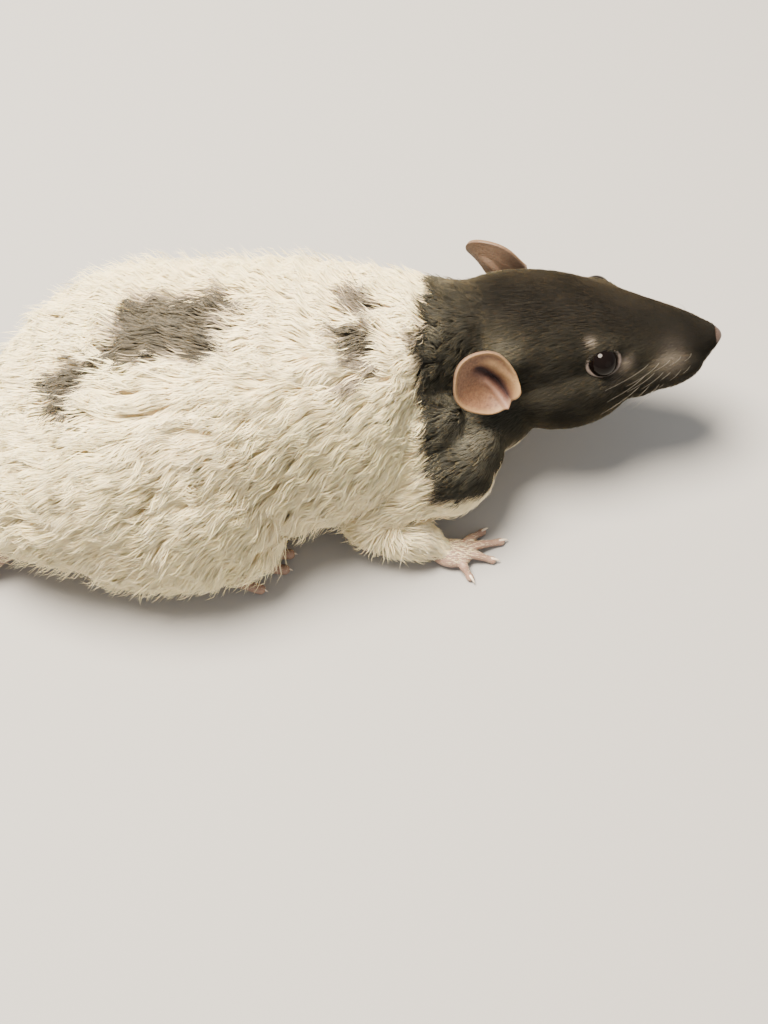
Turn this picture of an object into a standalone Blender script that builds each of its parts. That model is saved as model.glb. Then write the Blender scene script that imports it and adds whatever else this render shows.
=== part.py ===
"""A pet rat with a wavy coat, crouched on all fours, as a still model of life size.

The rat faces +X and +Z is up. Sizes are in millimetres in the rat's own pose frame, whose
floor is z = 0 and whose +Y is the rat's left. At the end the whole is moved, so that its box
stands centred on the origin.
"""

import math

import bmesh
import bpy
import numpy as np
from mathutils import Matrix, Vector
from mathutils.bvhtree import BVHTree

MM = 0.001
GAP = 0.3  # clear space between two nodes that meet
BOX_MIDDLE = (-26.19, 12.21)  # the middle of the model's box in the pose frame

# The trunk with its coat, from rump to neck. Each row is x, then the section's middle in y and z,
# its half width, and its height above and below the middle.
TRUNK = (
    (-95.0, -1.5, 21.0, 5.0, 6.0, 6.0),
    (-90.0, -2.5, 21.5, 13.5, 13.0, 13.0),
    (-82.0, 0.5, 22.5, 21.5, 20.5, 18.5),
    (-70.0, 5.0, 25.0, 30.5, 29.0, 24.5),
    (-54.0, 7.5, 26.0, 34.5, 35.0, 26.5),
    (-36.0, 9.5, 26.0, 32.0, 37.0, 26.5),
    (-18.0, 12.5, 26.0, 29.0, 36.2, 26.2),
    (0.0, 15.5, 26.0, 25.7, 31.0, 24.0),
    (13.0, 22.5, 28.0, 17.0, 21.5, 18.5),
    (26.0, 26.5, 31.0, 13.0, 14.0, 14.5),
)
SHOULDER_BLADE_AT = (4.0, 9.0, 24.0)
SHOULDER_BLADE_HALF = (16.0, 14.0, 19.0)
CHEST_AT = (19.0, 15.5, 22.0)
CHEST_HALF = (16.0, 13.0, 12.0)
THROAT_AT = (27.0, 19.5, 25.0)
THROAT_HALF = (13.0, 12.0, 12.0)
HIPS_MIDDLE = 7.5  # y of the body's middle line between the hind legs
CHEST_MIDDLE = 14.5  # and between the forelegs

# Places on a leg are x, the distance out from the middle line, and z. Rows add the radius.
HAUNCH_AT = (-45.5, 20.5, 21.5)
HAUNCH_HALF = (26.5, 15.0, 22.5)
HAUNCH_YAW = 6.0
SHANK = ((-31.0, 21.5, 14.0, 9.5), (-45.0, 24.5, 9.0, 8.0), (-60.0, 24.0, 6.5, 6.5))
SHOULDER_AT = (9.5, 14.5, 19.5)
SHOULDER_HALF = (16.0, 10.0, 13.5)
SHOULDER_YAW = -12.0
FORELEG = (
    (8.0, 17.0, 18.5, 8.5),
    (-4.0, 21.5, 11.5, 5.8),
    (3.5, 24.3, 6.6, 4.6),
    (11.0, 26.2, 4.3, 3.3),
)
LEG_DEPTH = 2.5  # how far round a leg's own forms its node reaches into the trunk

PALM_AT = (15.5, 26.5, 2.3)
PALM_HALF = (4.6, 4.3, 2.6)
WRIST = ((8.0, 25.6, 4.6, 2.6), (12.5, 26.4, 3.2, 2.5))
FINGERS = ((41.0, 9.4), (18.0, 11.8), (-7.0, 9.2), (-55.0, 6.8))  # turn inwards, and reach
FINGER_R = 1.15
HEEL_AT = (-60.5, 24.2)
FOOT_YAW = 6.0  # toes turned in
FOOT_ROOM = 0.6  # clear space left round a foot before its hollow is smoothed
# The foot in its own frame: x from the heel, y outwards, z, half width, above and below.
FOOT = (
    (0.0, 0.0, 2.9, 3.2, 3.4, 3.2),
    (8.0, 0.0, 2.9, 3.1, 2.8, 3.2),
    (18.0, 0.0, 2.7, 3.9, 2.1, 3.0),
    (26.0, -0.3, 2.3, 4.5, 1.5, 2.6),
)
# Each toe's root and tip in the foot's frame, from the inner toe to the outer one.
TOES = (
    ((19.0, -3.4), (29.0, -7.6)),
    ((25.5, -3.0), (38.0, -4.6)),
    ((26.5, -0.6), (39.4, -0.8)),
    ((26.0, 1.8), (38.0, 3.0)),
    ((21.0, 3.4), (32.2, 7.4)),
)
TOE_R = 1.3
CLAW = (2.4, 0.55, 0.18)  # length, and radius at the root and at the tip

# The head in its own frame: x forward from between the eyes, y to its left, z up.
# Each row is x, the top and the bottom of the section, and its half width.
HEAD = (
    (-31.0, 9.0, -15.0, 12.0),
    (-21.0, 12.2, -19.0, 15.0),
    (-10.0, 11.2, -19.8, 15.8),
    (0.0, 8.6, -18.4, 13.0),
    (8.0, 5.6, -16.0, 10.2),
    (15.0, 2.6, -13.2, 8.0),
    (21.0, -0.4, -10.6, 6.2),
    (25.0, -2.6, -8.5, 4.2),
)
HEAD_AT = (46.0, 26.1, 36.9)
HEAD_YAW = -1.0
HEAD_PITCH = -5.0  # the nose lifted
HEAD_ROLL = -7.0  # the right side lifted
EYE_AT = (0.4, 10.3, 0.4)
EYE_R = 3.4
EYE_FACES = (0.25, 0.88, 0.40)
LIDS_AT = 1.6  # how far out on the eye they lie
LIDS_HALF = (3.6, 3.2)
LIDS_R = 0.8
NOSE_AT = (24.2, 0.0, -5.2)
NOSE_HALF = (3.9, 4.0, 3.4)
NOSTRIL_AT = (26.4, 2.9, -5.6)
MOUTH_AT = (16.5, 0.0, -10.9)
MOUTH_DEPTH = 1.2
MOUTH_HEIGHT = 0.7

# The middle of each ear's rim in the head's frame, as a rat turns its ears one by one.
EAR_AT = {"left": (-20.8, 17.4, 4.8), "right": (-23.5, -19.4, 5.0)}
EAR_AXIS = (-0.57, 0.03, 0.82)
EAR_FACES = (0.31, 0.89, 0.34)
EAR_HALF = (8.2, 7.2)
EAR_CUP = 3.2
EAR_WALL = 1.0
EAR_ROOT_AT = (-6.0, 0.0, -4.0)  # in the ear's frame: x where it faces, z along it
EAR_ROOT_HALF = (4.6, 3.4, 3.4)
EAR_BASE_AT = (-19.0, 10.6, 1.0)
EAR_BASE_HALF = (8.0, 5.0, 6.0)

# The cuts on both sides of the neck: a point, and the way that faces the head.
NECK_FRONT = ((-21.5, 0.0, -4.0), (0.83, 0.0, 0.56))  # in the head's frame
NECK_REAR = ((7.0, 17.0, 27.0), (0.93, 0.17, 0.33))

# The tail's middle line: x, y and z. It leaves the frame of the view and curls to the rat's left.
TAIL = (
    (-81.0, -10.2, 11.4),
    (-87.0, -12.4, 8.0),
    (-97.0, -15.5, 5.2),
    (-109.5, -14.5, 4.6),
    (-119.0, -7.0, 4.3),
    (-122.5, 4.0, 4.0),
    (-117.5, 15.0, 3.7),
    (-106.0, 23.5, 3.3),
    (-91.0, 31.5, 2.9),
    (-75.0, 41.5, 2.5),
    (-57.0, 48.5, 2.1),
    (-38.0, 51.5, 1.6),
    (-18.0, 50.5, 1.1),
)
TAIL_R = (5.6, 1.2)  # at the root and at the tip
TAIL_LENGTHS = 4

# The coat's clumps. Each ring of a clump is how far along it lies, its height over the core, its
# share of the half width, and its half thickness.
CLUMP = (
    (0.0, -1.4, 0.6, 0.8),
    (0.3, 0.5, 1.0, 1.2),
    (0.68, 0.9, 0.85, 1.1),
    (1.0, 0.7, 0.25, 0.4),
)
CLUMP_SIDES = 6
CLUMP_LENGTH = 19.0
CLUMP_HALF_WIDTH = 5.8
CLUMP_BEND = 50.0  # degrees over its length, to either side
CLUMP_ROWS = (-90.0, 0.0, 12.0)  # from, to and by how much along x
CLUMP_ANGLES = (-25.0, 205.0)  # round the trunk, from its right side over its back
CLUMP_STEP = 12.0  # from one clump to the next round the trunk
CLUMP_MIDDLE_Z = 24.0
CLUMP_LOWEST = 15.0
CLUMP_SEED = 7
CORE_DEPTH = 1.8  # from the tips of the coat down to its core
CORE_FADES = (-6.0, 10.0)  # where the coat turns short and the core meets its tips

TRUNK_TRIANGLES = 2200
COAT_TRIANGLES = 5400  # of the trunk and legs with the clumps on them
HEAD_TRIANGLES = 1700
REGION_TRIANGLES = 180
PAW_TRIANGLES = 300
FOOT_TRIANGLES = 320

# Each finish is a colour, and how rough it is.
WHITE_COAT = ((0.80, 0.75, 0.64, 1), 0.9)
HOOD_COAT = ((0.07, 0.068, 0.06, 1), 0.85)
EAR_SKIN = ((0.50, 0.30, 0.22, 1), 0.6)
PAW_SKIN = ((0.72, 0.47, 0.42, 1), 0.55)
TAIL_SKIN = ((0.62, 0.42, 0.36, 1), 0.6)
DARK_EYE = ((0.01, 0.008, 0.008, 1), 0.06)

SIDES = {"left": 1, "right": -1}


def place(x, y, z):
    return Vector((x, y, z)) * MM


def leg_place(middle, side, row):
    """A leg's place or row, given outwards from the middle line, as one in the pose frame."""
    return (row[0], middle + side * row[1], *row[2:])


def turned(yaw=0.0, pitch=0.0, roll=0.0):
    """A rotation by a yaw, a pitch and a roll in degrees."""
    turn = Matrix.Rotation(math.radians(yaw), 4, "Z")
    tilt = Matrix.Rotation(math.radians(pitch), 4, "Y")
    return turn @ tilt @ Matrix.Rotation(math.radians(roll), 4, "X")


def facing(at, ahead, up):
    """The frame at a place whose x axis points ahead and whose z axis leans to up."""
    ahead = Vector(ahead).normalized()
    side = Vector(up).cross(ahead).normalized()
    turn = Matrix((ahead, side, ahead.cross(side))).transposed().to_4x4()
    return Matrix.Translation(place(*at)) @ turn


def smooth_rows(rows, steps):
    """The rows with more between them, all on one smooth curve."""
    table = np.array(rows, float)
    ends = np.vstack([2 * table[0] - table[1], table, 2 * table[-1] - table[-2]])
    found = []
    for before, start, end, after in zip(ends, ends[1:], ends[2:], ends[3:]):
        for t in np.arange(steps) / steps:
            bend = (2 * before - 5 * start + 4 * end - after) * t**2
            turn = (3 * start - before - 3 * end + after) * t**3
            found.append(0.5 * (2 * start + (end - before) * t + bend + turn))
    found.append(table[-1])
    return found


def add_ring(bm, frame, sizes, sides):
    """A ring across the frame's x axis, by its half width and its height above and below."""
    half_width, above, below = sizes
    ring = bmesh.ops.create_circle(bm, radius=1, segments=sides)["verts"]
    for vert in ring:
        height = above if vert.co.y > 0 else below
        vert.co = place(0, vert.co.x * half_width, vert.co.y * height)
    bmesh.ops.transform(bm, matrix=frame, verts=ring)
    return list({edge for vert in ring for edge in vert.link_edges})


def close_tube(bm, rings):
    """Joins rings of edges to a tube that is closed at both ends."""
    for ring, following in zip(rings, rings[1:]):
        bmesh.ops.bridge_loops(bm, edges=ring + following)
    for ring in (rings[0], rings[-1]):
        bmesh.ops.contextual_create(bm, geom=ring)


def add_loft(bm, rows, sides=24, ways=None):
    """A closed tube through rows of x, y, z, half width, height above and height below.

    Its sections are square to the ways given, or else to its middle line.
    """
    centres = [place(*row[:3]) for row in rows]
    rings = []
    for index, row in enumerate(rows):
        ahead = centres[min(index + 1, len(rows) - 1)] - centres[max(index - 1, 0)]
        if ways:
            ahead = ways[index]
        frame = facing(row[:3], ahead, (0, 0, 1))
        rings.append(add_ring(bm, frame, row[3:], sides))
    close_tube(bm, rings)


def add_ball(bm, at, half, fineness=3, **turns):
    """An ellipsoid of three half sizes."""
    size = Matrix.Diagonal((*(h * MM for h in half), 1))
    matrix = Matrix.Translation(place(*at)) @ turned(**turns) @ size
    bmesh.ops.create_icosphere(bm, subdivisions=fineness, radius=1, matrix=matrix)


def add_limb(bm, joints, sides=16, steps=4):
    """A round limb through rows of x, y, z and radius, with a ball at each end."""
    rows = [(*row[:3], row[3], row[3], row[3]) for row in smooth_rows(joints, steps)]
    add_loft(bm, rows, sides)
    for end in (joints[0], joints[-1]):
        add_ball(bm, end[:3], (end[3],) * 3, fineness=2)


def made_object(name, bm):
    bmesh.ops.recalc_face_normals(bm, faces=bm.faces)
    mesh = bpy.data.meshes.new(name)
    bm.to_mesh(mesh)
    bm.free()
    obj = bpy.data.objects.new(name, mesh)
    bpy.context.scene.collection.objects.link(obj)
    return obj


def copy_of(obj, name):
    twin = bpy.data.objects.new(name, obj.data.copy())
    bpy.context.scene.collection.objects.link(twin)
    return twin


def applied(obj):
    """Replaces the object's mesh by what its modifiers make of it."""
    bpy.context.view_layer.update()
    graph = bpy.context.evaluated_depsgraph_get()
    mesh = bpy.data.meshes.new_from_object(obj.evaluated_get(graph))
    obj.modifiers.clear()
    old, obj.data = obj.data, mesh
    bpy.data.meshes.remove(old)
    return obj


def fused(obj, voxel, rounds):
    """One skin over all the forms in the object, smoothed where they meet."""
    remesh = obj.modifiers.new("Skin", "REMESH")
    remesh.mode = "VOXEL"
    remesh.voxel_size = voxel * MM
    smooth = obj.modifiers.new("Blend", "SMOOTH")
    smooth.factor = 0.5
    smooth.iterations = rounds
    return applied(obj)


def thinned(obj, triangles):
    """The object with about this many triangles."""
    obj.modifiers.new("Triangles", "TRIANGULATE")
    applied(obj)
    decimate = obj.modifiers.new("Fewer", "DECIMATE")
    decimate.ratio = min(1.0, triangles / len(obj.data.polygons))
    return applied(obj)


def grown(obj, by):
    """A copy of the object whose surface is moved out by this much."""
    twin = copy_of(obj, obj.name + " grown")
    displace = twin.modifiers.new("Grow", "DISPLACE")
    displace.strength = by * MM
    displace.mid_level = 0
    return applied(twin)


def combined(obj, other, operation):
    """The object after a Boolean with the other one, which is then removed."""
    modifier = obj.modifiers.new("Combine", "BOOLEAN")
    modifier.operation = operation
    modifier.solver = "EXACT"
    modifier.object = other
    applied(obj)
    bpy.data.objects.remove(other)
    return obj


def largest_only(obj):
    """Keeps only the object's largest closed surface."""
    bm = bmesh.new()
    bm.from_mesh(obj.data)
    unseen = set(bm.faces)
    pieces = []
    while unseen:
        front = [unseen.pop()]
        piece = []
        while front:
            face = front.pop()
            piece.append(face)
            near = {f for edge in face.edges for f in edge.link_faces} & unseen
            unseen -= near
            front.extend(near)
        pieces.append(piece)
    pieces.sort(key=lambda piece: sum(face.calc_area() for face in piece))
    scraps = [face for piece in pieces[:-1] for face in piece]
    bmesh.ops.delete(bm, geom=scraps, context="FACES")
    bm.to_mesh(obj.data)
    bm.free()
    return obj


def sliced(obj, point, normal):
    """Takes away what lies beyond a plane, and closes the cut."""
    bm = bmesh.new()
    bm.from_mesh(obj.data)
    cut = bmesh.ops.bisect_plane(
        bm,
        geom=bm.verts[:] + bm.edges[:] + bm.faces[:],
        plane_co=point,
        plane_no=normal,
        clear_outer=True,
    )
    rim = [edge for edge in cut["geom_cut"] if isinstance(edge, bmesh.types.BMEdge)]
    bmesh.ops.triangle_fill(bm, edges=rim, use_beauty=True)
    bmesh.ops.triangulate(bm, faces=bm.faces)
    bmesh.ops.recalc_face_normals(bm, faces=bm.faces)
    bm.to_mesh(obj.data)
    bm.free()
    return obj


def on_floor(obj):
    """Cuts the object flat where it stands on the floor."""
    return sliced(obj, Vector((0, 0, 0)), Vector((0, 0, -1)))


def parted(obj, frame, cut):
    """Parts the object at a plane into what lies ahead of it and what lies behind it."""
    point = frame @ place(*cut[0])
    normal = (frame.to_3x3() @ Vector(cut[1])).normalized()
    ahead = copy_of(obj, "ahead")
    sliced(ahead, point + normal * (GAP / 2 * MM), -normal)
    sliced(obj, point - normal * (GAP / 2 * MM), normal)
    return ahead, obj


def head_frame():
    return Matrix.Translation(place(*HEAD_AT)) @ turned(HEAD_YAW, HEAD_PITCH, HEAD_ROLL)


def add_haunch(bm, side, more=0.0):
    at = leg_place(HIPS_MIDDLE, side, HAUNCH_AT)
    add_ball(bm, at, [half + more for half in HAUNCH_HALF], yaw=-side * HAUNCH_YAW)
    rows = [leg_place(HIPS_MIDDLE, side, row) for row in SHANK]
    add_limb(bm, [(*row[:3], row[3] + more) for row in rows])


def add_foreleg(bm, side, more=0.0):
    at = leg_place(CHEST_MIDDLE, side, SHOULDER_AT)
    add_ball(bm, at, [half + more for half in SHOULDER_HALF], yaw=-side * SHOULDER_YAW)
    rows = [leg_place(CHEST_MIDDLE, side, row) for row in FORELEG]
    add_limb(bm, [(*row[:3], row[3] + more) for row in rows])


def add_skull(bm):
    """The head's forms in its own frame: skull, muzzle, nose, whisker pads, cheeks and brows."""
    rows = []
    for x, top, bottom, half_width in smooth_rows(HEAD, 4):
        middle = 0.55 * top + 0.45 * bottom - 1.5
        rows.append((x, 0.0, middle, half_width, top - middle, middle - bottom))
    add_loft(bm, rows, 28)
    add_ball(bm, NOSE_AT, NOSE_HALF)
    add_ball(bm, (12.0, 0, -11.8), (9.8, 4.8, 3.6), pitch=6)
    for side in SIDES.values():
        add_ball(bm, (15.5, side * 4.2, -6.8), (8.6, 4.9, 4.4), yaw=side * -12)
        add_ball(bm, (-8.0, side * 7.6, -9.0), (15.0, 9.4, 10.0), yaw=side * -10)
        add_ball(bm, (0.2, side * 7.4, 0.2), (7.4, 5.2, 5.2), yaw=side * -16)
        ear_base = (EAR_BASE_AT[0], side * EAR_BASE_AT[1], EAR_BASE_AT[2])
        add_ball(bm, ear_base, EAR_BASE_HALF)


def make_flesh():
    """Trunk, legs, neck and head in one skin, before they are parted."""
    bm = bmesh.new()
    add_skull(bm)
    bmesh.ops.transform(bm, matrix=head_frame(), verts=bm.verts)
    trunk = []
    for row in smooth_rows(TRUNK, 4):
        depth = np.interp(row[0], CORE_FADES, (CORE_DEPTH, 0))
        trunk.append((*row[:3], row[3] - depth, row[4] - depth, row[5]))
    add_loft(bm, trunk, 32, [(1, 0, 0)] * len(trunk))
    add_ball(bm, CHEST_AT, CHEST_HALF)
    add_ball(bm, THROAT_AT, THROAT_HALF)
    for side in SIDES.values():
        add_ball(bm, leg_place(CHEST_MIDDLE, side, SHOULDER_BLADE_AT), SHOULDER_BLADE_HALF)
        add_haunch(bm, side, -0.5 * CORE_DEPTH)
        add_foreleg(bm, side)
    return on_floor(fused(made_object("flesh", bm), 0.9, 7))


def add_clump(bm, surface, at, way, length, bend):
    """A rounded flat clump that follows the surface, sunk at its root and bent to one side."""
    rings = []
    before = 0.0
    for along, height, wide, thick in CLUMP:
        step = (along - before) * length * MM
        at, normal, _, _ = surface.find_nearest(at + way * step)
        turn = Matrix.Rotation(math.radians(bend * (along - before)), 3, normal)
        way = turn @ way
        way = (way - normal * way.dot(normal)).normalized()
        frame = facing((at + normal * height * MM) / MM, way, normal)
        sizes = (wide * CLUMP_HALF_WIDTH, thick, thick)
        rings.append(add_ring(bm, frame, sizes, CLUMP_SIDES))
        before = along
    close_tube(bm, rings)
    bmesh.ops.triangulate(bm, faces=bm.faces)


def add_coat(core, flesh):
    """Sets the clumps of the wavy coat close over the core, in rows that lie backwards."""
    bm = bmesh.new()
    bm.from_mesh(flesh.data)
    surface = BVHTree.FromBMesh(bm)
    bm.free()
    rng = np.random.default_rng(CLUMP_SEED)
    trunk = np.array(TRUNK)
    clumps = bpy.data.collections.new("clumps")
    bpy.context.scene.collection.children.link(clumps)
    for row, x in enumerate(np.arange(*CLUMP_ROWS)):
        middle = place(x, np.interp(x, trunk[:, 0], trunk[:, 1]), CLUMP_MIDDLE_Z)
        step = math.degrees(CLUMP_STEP / np.interp(x, trunk[:, 0], trunk[:, 3]))
        for angle in np.arange(*CLUMP_ANGLES, step) + step * (row % 2) / 2:
            around = math.radians(angle + rng.uniform(-3, 3))
            out = Vector((rng.uniform(-0.04, 0.04), -math.cos(around), math.sin(around)))
            at, normal, _, _ = surface.ray_cast(middle + out * 0.1, -out)
            length = CLUMP_LENGTH * rng.uniform(0.85, 1.15)
            bend = rng.uniform(-CLUMP_BEND, CLUMP_BEND)
            if at.z < CLUMP_LOWEST * MM:
                continue
            way = Vector((-1, 0, -0.25))
            way = (way - normal * way.dot(normal)).normalized()
            bm = bmesh.new()
            add_clump(bm, surface, at, way, length, bend)
            clump = made_object("clump", bm)
            bpy.context.scene.collection.objects.unlink(clump)
            clumps.objects.link(clump)
    union = core.modifiers.new("Coat", "BOOLEAN")
    union.operation = "UNION"
    union.operand_type = "COLLECTION"
    union.collection = clumps
    union.solver = "EXACT"
    applied(core)
    for clump in list(clumps.objects):
        bpy.data.objects.remove(clump)
    bpy.data.collections.remove(clumps)
    return thinned(largest_only(fused(core, 0.7, 1)), COAT_TRIANGLES)


def leg_region(add_leg, side):
    """The space round a leg that becomes its node."""
    bm = bmesh.new()
    add_leg(bm, side, LEG_DEPTH)
    region = fused(made_object("region", bm), 1.2, 3)
    return thinned(region, REGION_TRIANGLES)


def take_leg(flesh, add_leg, side, name):
    """Cuts a leg out of the flesh, with a thin gap all round it."""
    region = leg_region(add_leg, side)
    leg = copy_of(flesh, name)
    room = grown(region, GAP)
    combined(leg, region, "INTERSECT")
    combined(flesh, room, "DIFFERENCE")
    return largest_only(leg)


def claw(frame):
    """A small cone that points along the frame's x axis, from its origin."""
    length, root, tip = CLAW
    bm = bmesh.new()
    along = Matrix.Translation(place(length / 2 - 0.6, 0, 0)) @ Matrix.Rotation(
        math.pi / 2, 4, "Y"
    )
    bmesh.ops.create_cone(
        bm,
        cap_ends=True,
        segments=6,
        radius1=root * MM,
        radius2=tip * MM,
        depth=length * MM,
        matrix=frame @ along,
    )
    return made_object("claw", bm)


def make_forepaw(side, name):
    """A palm and four fingers spread on the floor, each with its claw."""
    bm = bmesh.new()
    palm = leg_place(CHEST_MIDDLE, side, PALM_AT)
    add_ball(bm, palm, PALM_HALF)
    add_limb(bm, [leg_place(CHEST_MIDDLE, side, row) for row in WRIST])
    claws = []
    for turn, reach in FINGERS:
        angle = math.radians(-side * turn)
        ahead = Vector((math.cos(angle), math.sin(angle)))
        spots = [(palm[0] + ahead.x * d, palm[1] + ahead.y * d) for d in (2.0, reach * 0.6, reach)]
        add_limb(
            bm,
            (
                (*spots[0], 2.4, FINGER_R + 0.35),
                (*spots[1], 2.2, FINGER_R),
                (*spots[2], FINGER_R - 0.1, FINGER_R - 0.1),
            ),
            sides=10,
            steps=3,
        )
        claws.append(claw(facing((*spots[2], 1.2), (ahead.x, ahead.y, -0.28), (0, 0, 1))))
    paw = thinned(fused(made_object(name, bm), 0.45, 3), PAW_TRIANGLES)
    for piece in claws:
        combined(paw, piece, "UNION")
    return on_floor(paw)


def make_hindfoot(side, name):
    """A long sole with five toes, flat on the floor, each toe with its claw."""
    bm = bmesh.new()
    add_loft(bm, smooth_rows(FOOT, 4), 16)
    add_ball(bm, FOOT[0][:3], (3.2, 3.2, 3.2), fineness=2)
    places = []
    for root, tip in TOES:
        middle = [(a + b) / 2 for a, b in zip(root, tip)]
        add_limb(
            bm,
            (
                (*root, 2.0, TOE_R + 0.3),
                (*middle, 2.5, TOE_R),
                (*tip, TOE_R - 0.1, TOE_R - 0.1),
            ),
            sides=10,
            steps=3,
        )
        ahead = Vector((tip[0] - root[0], tip[1] - root[1], -3.4))
        places.append(facing((*tip, 1.35), ahead, (0, 0, 1)))
    heel = leg_place(HIPS_MIDDLE, side, (*HEEL_AT, 0.0))
    stand = Matrix.Translation(place(*heel)) @ turned(yaw=-side * FOOT_YAW)
    stand = stand @ Matrix.Diagonal((1, side, 1, 1))
    bmesh.ops.transform(bm, matrix=stand, verts=bm.verts)
    foot = thinned(fused(made_object(name, bm), 0.45, 3), FOOT_TRIANGLES)
    for spot in places:
        combined(foot, claw(stand @ spot), "UNION")
    return on_floor(foot)


def eye_ball(side, radius, name):
    bm = bmesh.new()
    bmesh.ops.create_uvsphere(bm, u_segments=16, v_segments=10, radius=radius * MM)
    look = (EYE_FACES[0], side * EYE_FACES[1], EYE_FACES[2])
    at = (EYE_AT[0], side * EYE_AT[1], EYE_AT[2])
    pole_out = Matrix.Rotation(math.pi / 2, 4, "Y")
    frame = head_frame() @ facing(at, look, (0, 0, 1)) @ pole_out
    bmesh.ops.transform(bm, matrix=frame, verts=bm.verts)
    return made_object(name, bm)


def eye_lids(side):
    """The rim of both lids, an oval ring where the eye leaves the head."""
    half_length, half_height = LIDS_HALF
    bm = bmesh.new()
    tube = Matrix.Translation(place(0, half_length, 0))
    bmesh.ops.create_circle(bm, radius=LIDS_R * MM, segments=8, matrix=tube)
    bmesh.ops.spin(
        bm,
        geom=bm.verts[:] + bm.edges[:],
        cent=(0, 0, 0),
        axis=(1, 0, 0),
        angle=2 * math.pi,
        steps=20,
        use_merge=True,
    )
    bmesh.ops.scale(bm, vec=(1, 1, half_height / half_length), verts=bm.verts)
    look = Vector((EYE_FACES[0], side * EYE_FACES[1], EYE_FACES[2])).normalized()
    at = Vector((EYE_AT[0], side * EYE_AT[1], EYE_AT[2])) + look * LIDS_AT
    bmesh.ops.transform(bm, matrix=head_frame() @ facing(at, look, (0, 0, 1)), verts=bm.verts)
    return made_object("lids", bm)


def mouth_cutter(head):
    """A thin slot round the front of the muzzle, as deep as the lips are thick."""
    bm = bmesh.new()
    bmesh.ops.create_cube(bm, size=1)
    size = Matrix.Diagonal((19 * MM, 24 * MM, MOUTH_HEIGHT * MM, 1))
    tilt = turned(pitch=-5)
    matrix = head_frame() @ Matrix.Translation(place(*MOUTH_AT)) @ tilt @ size
    bmesh.ops.transform(bm, matrix=matrix, verts=bm.verts)
    return combined(made_object("mouth", bm), grown(head, -MOUTH_DEPTH), "DIFFERENCE")


def nostril_cutter(side):
    bm = bmesh.new()
    at = (NOSTRIL_AT[0], side * NOSTRIL_AT[1], NOSTRIL_AT[2])
    add_ball(bm, at, (1.7, 0.75, 0.7), fineness=2, yaw=side * 40, pitch=-20)
    bmesh.ops.transform(bm, matrix=head_frame(), verts=bm.verts)
    return made_object("nostril", bm)


def cleft_cutter():
    """The cleft that runs down from the nose to the mouth."""
    bm = bmesh.new()
    add_ball(bm, (26.8, 0, -9.0), (2.0, 0.35, 2.6), fineness=2, pitch=24)
    bmesh.ops.transform(bm, matrix=head_frame(), verts=bm.verts)
    return made_object("cleft", bm)


def finish_head(head):
    """Cuts mouth, nostrils and eye sockets in the head, and sets the lids round the eyes."""
    combined(head, mouth_cutter(head), "DIFFERENCE")
    combined(head, cleft_cutter(), "DIFFERENCE")
    for side in SIDES.values():
        combined(head, nostril_cutter(side), "DIFFERENCE")
        combined(head, eye_lids(side), "UNION")
        combined(head, eye_ball(side, EYE_R + GAP, "socket"), "DIFFERENCE")
    return largest_only(head)


def make_ear(word, side):
    """A thin round cup whose floor sinks towards its root."""
    rings, spokes = 4, 18
    bm = bmesh.new()
    bmesh.ops.create_circle(bm, cap_ends=True, cap_tris=True, segments=spokes, radius=1)
    spoke_edges = [edge for edge in bm.edges if not edge.is_boundary]
    bmesh.ops.subdivide_edges(bm, edges=spoke_edges, cuts=rings - 1, use_grid_fill=True)
    for vert in bm.verts:
        along, across = vert.co.x, vert.co.y
        out = math.hypot(along, across)
        deep = EAR_CUP * (1 - out**2) * (1 - 0.55 * along)
        width = EAR_HALF[1] * (1 + 0.12 * along)
        vert.co = place(-deep, across * width, along * EAR_HALF[0])
    bmesh.ops.triangulate(bm, faces=bm.faces)
    look = (EAR_FACES[0], side * EAR_FACES[1], EAR_FACES[2])
    axis = (EAR_AXIS[0], side * EAR_AXIS[1], EAR_AXIS[2])
    frame = head_frame() @ facing(EAR_AT[word], look, axis)
    bmesh.ops.transform(bm, matrix=frame, verts=bm.verts)
    ear = made_object("ear", bm)
    wall = ear.modifiers.new("Wall", "SOLIDIFY")
    wall.thickness = EAR_WALL * MM
    wall.offset = 0
    bm = bmesh.new()
    add_ball(bm, EAR_ROOT_AT, EAR_ROOT_HALF)
    bmesh.ops.transform(bm, matrix=frame, verts=bm.verts)
    return combined(applied(ear), made_object("root", bm), "UNION")


def make_tail():
    """The tail as one tube on the floor, parted into a few lengths with thin gaps."""
    path = np.array(smooth_rows(TAIL, 3))
    run = np.concatenate([[0], np.cumsum(np.linalg.norm(np.diff(path, axis=0), axis=1))])
    cuts = np.linspace(0, run[-1], TAIL_LENGTHS + 1)

    def spot(at):
        return Vector([np.interp(at, run, path[:, axis]) for axis in range(3)])

    lengths = []
    for index, (start, end) in enumerate(zip(cuts, cuts[1:])):
        first = start + (GAP / 2 if index else 0)
        last = end - GAP / 2
        inside = run[(run > first + 1) & (run < last - 1)]
        rows = []
        ways = []
        for at, near in [(first, start), *zip(inside, inside), (last, end)]:
            radius = np.interp(at, (0, run[-1]), TAIL_R)
            rows.append((*spot(at), radius, radius, radius))
            ways.append(spot(near + 1) - spot(near - 1))
        bm = bmesh.new()
        add_loft(bm, rows, 10, ways)
        lengths.append(on_floor(made_object(f"tail_{index + 1}", bm)))
    return lengths


def dress(obj, finish, name):
    """Gives a node its name and its one material."""
    colour, roughness = finish
    material = bpy.data.materials.new(name)
    material.use_nodes = True
    shader = material.node_tree.nodes["Principled BSDF"]
    shader.inputs["Base Color"].default_value = colour
    shader.inputs["Roughness"].default_value = roughness
    obj.name = name
    obj.data.name = name
    obj.data.materials.clear()
    obj.data.materials.append(material)
    obj.data.shade_smooth()
    obj.data.set_sharp_from_angle(angle=math.radians(40))


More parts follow.
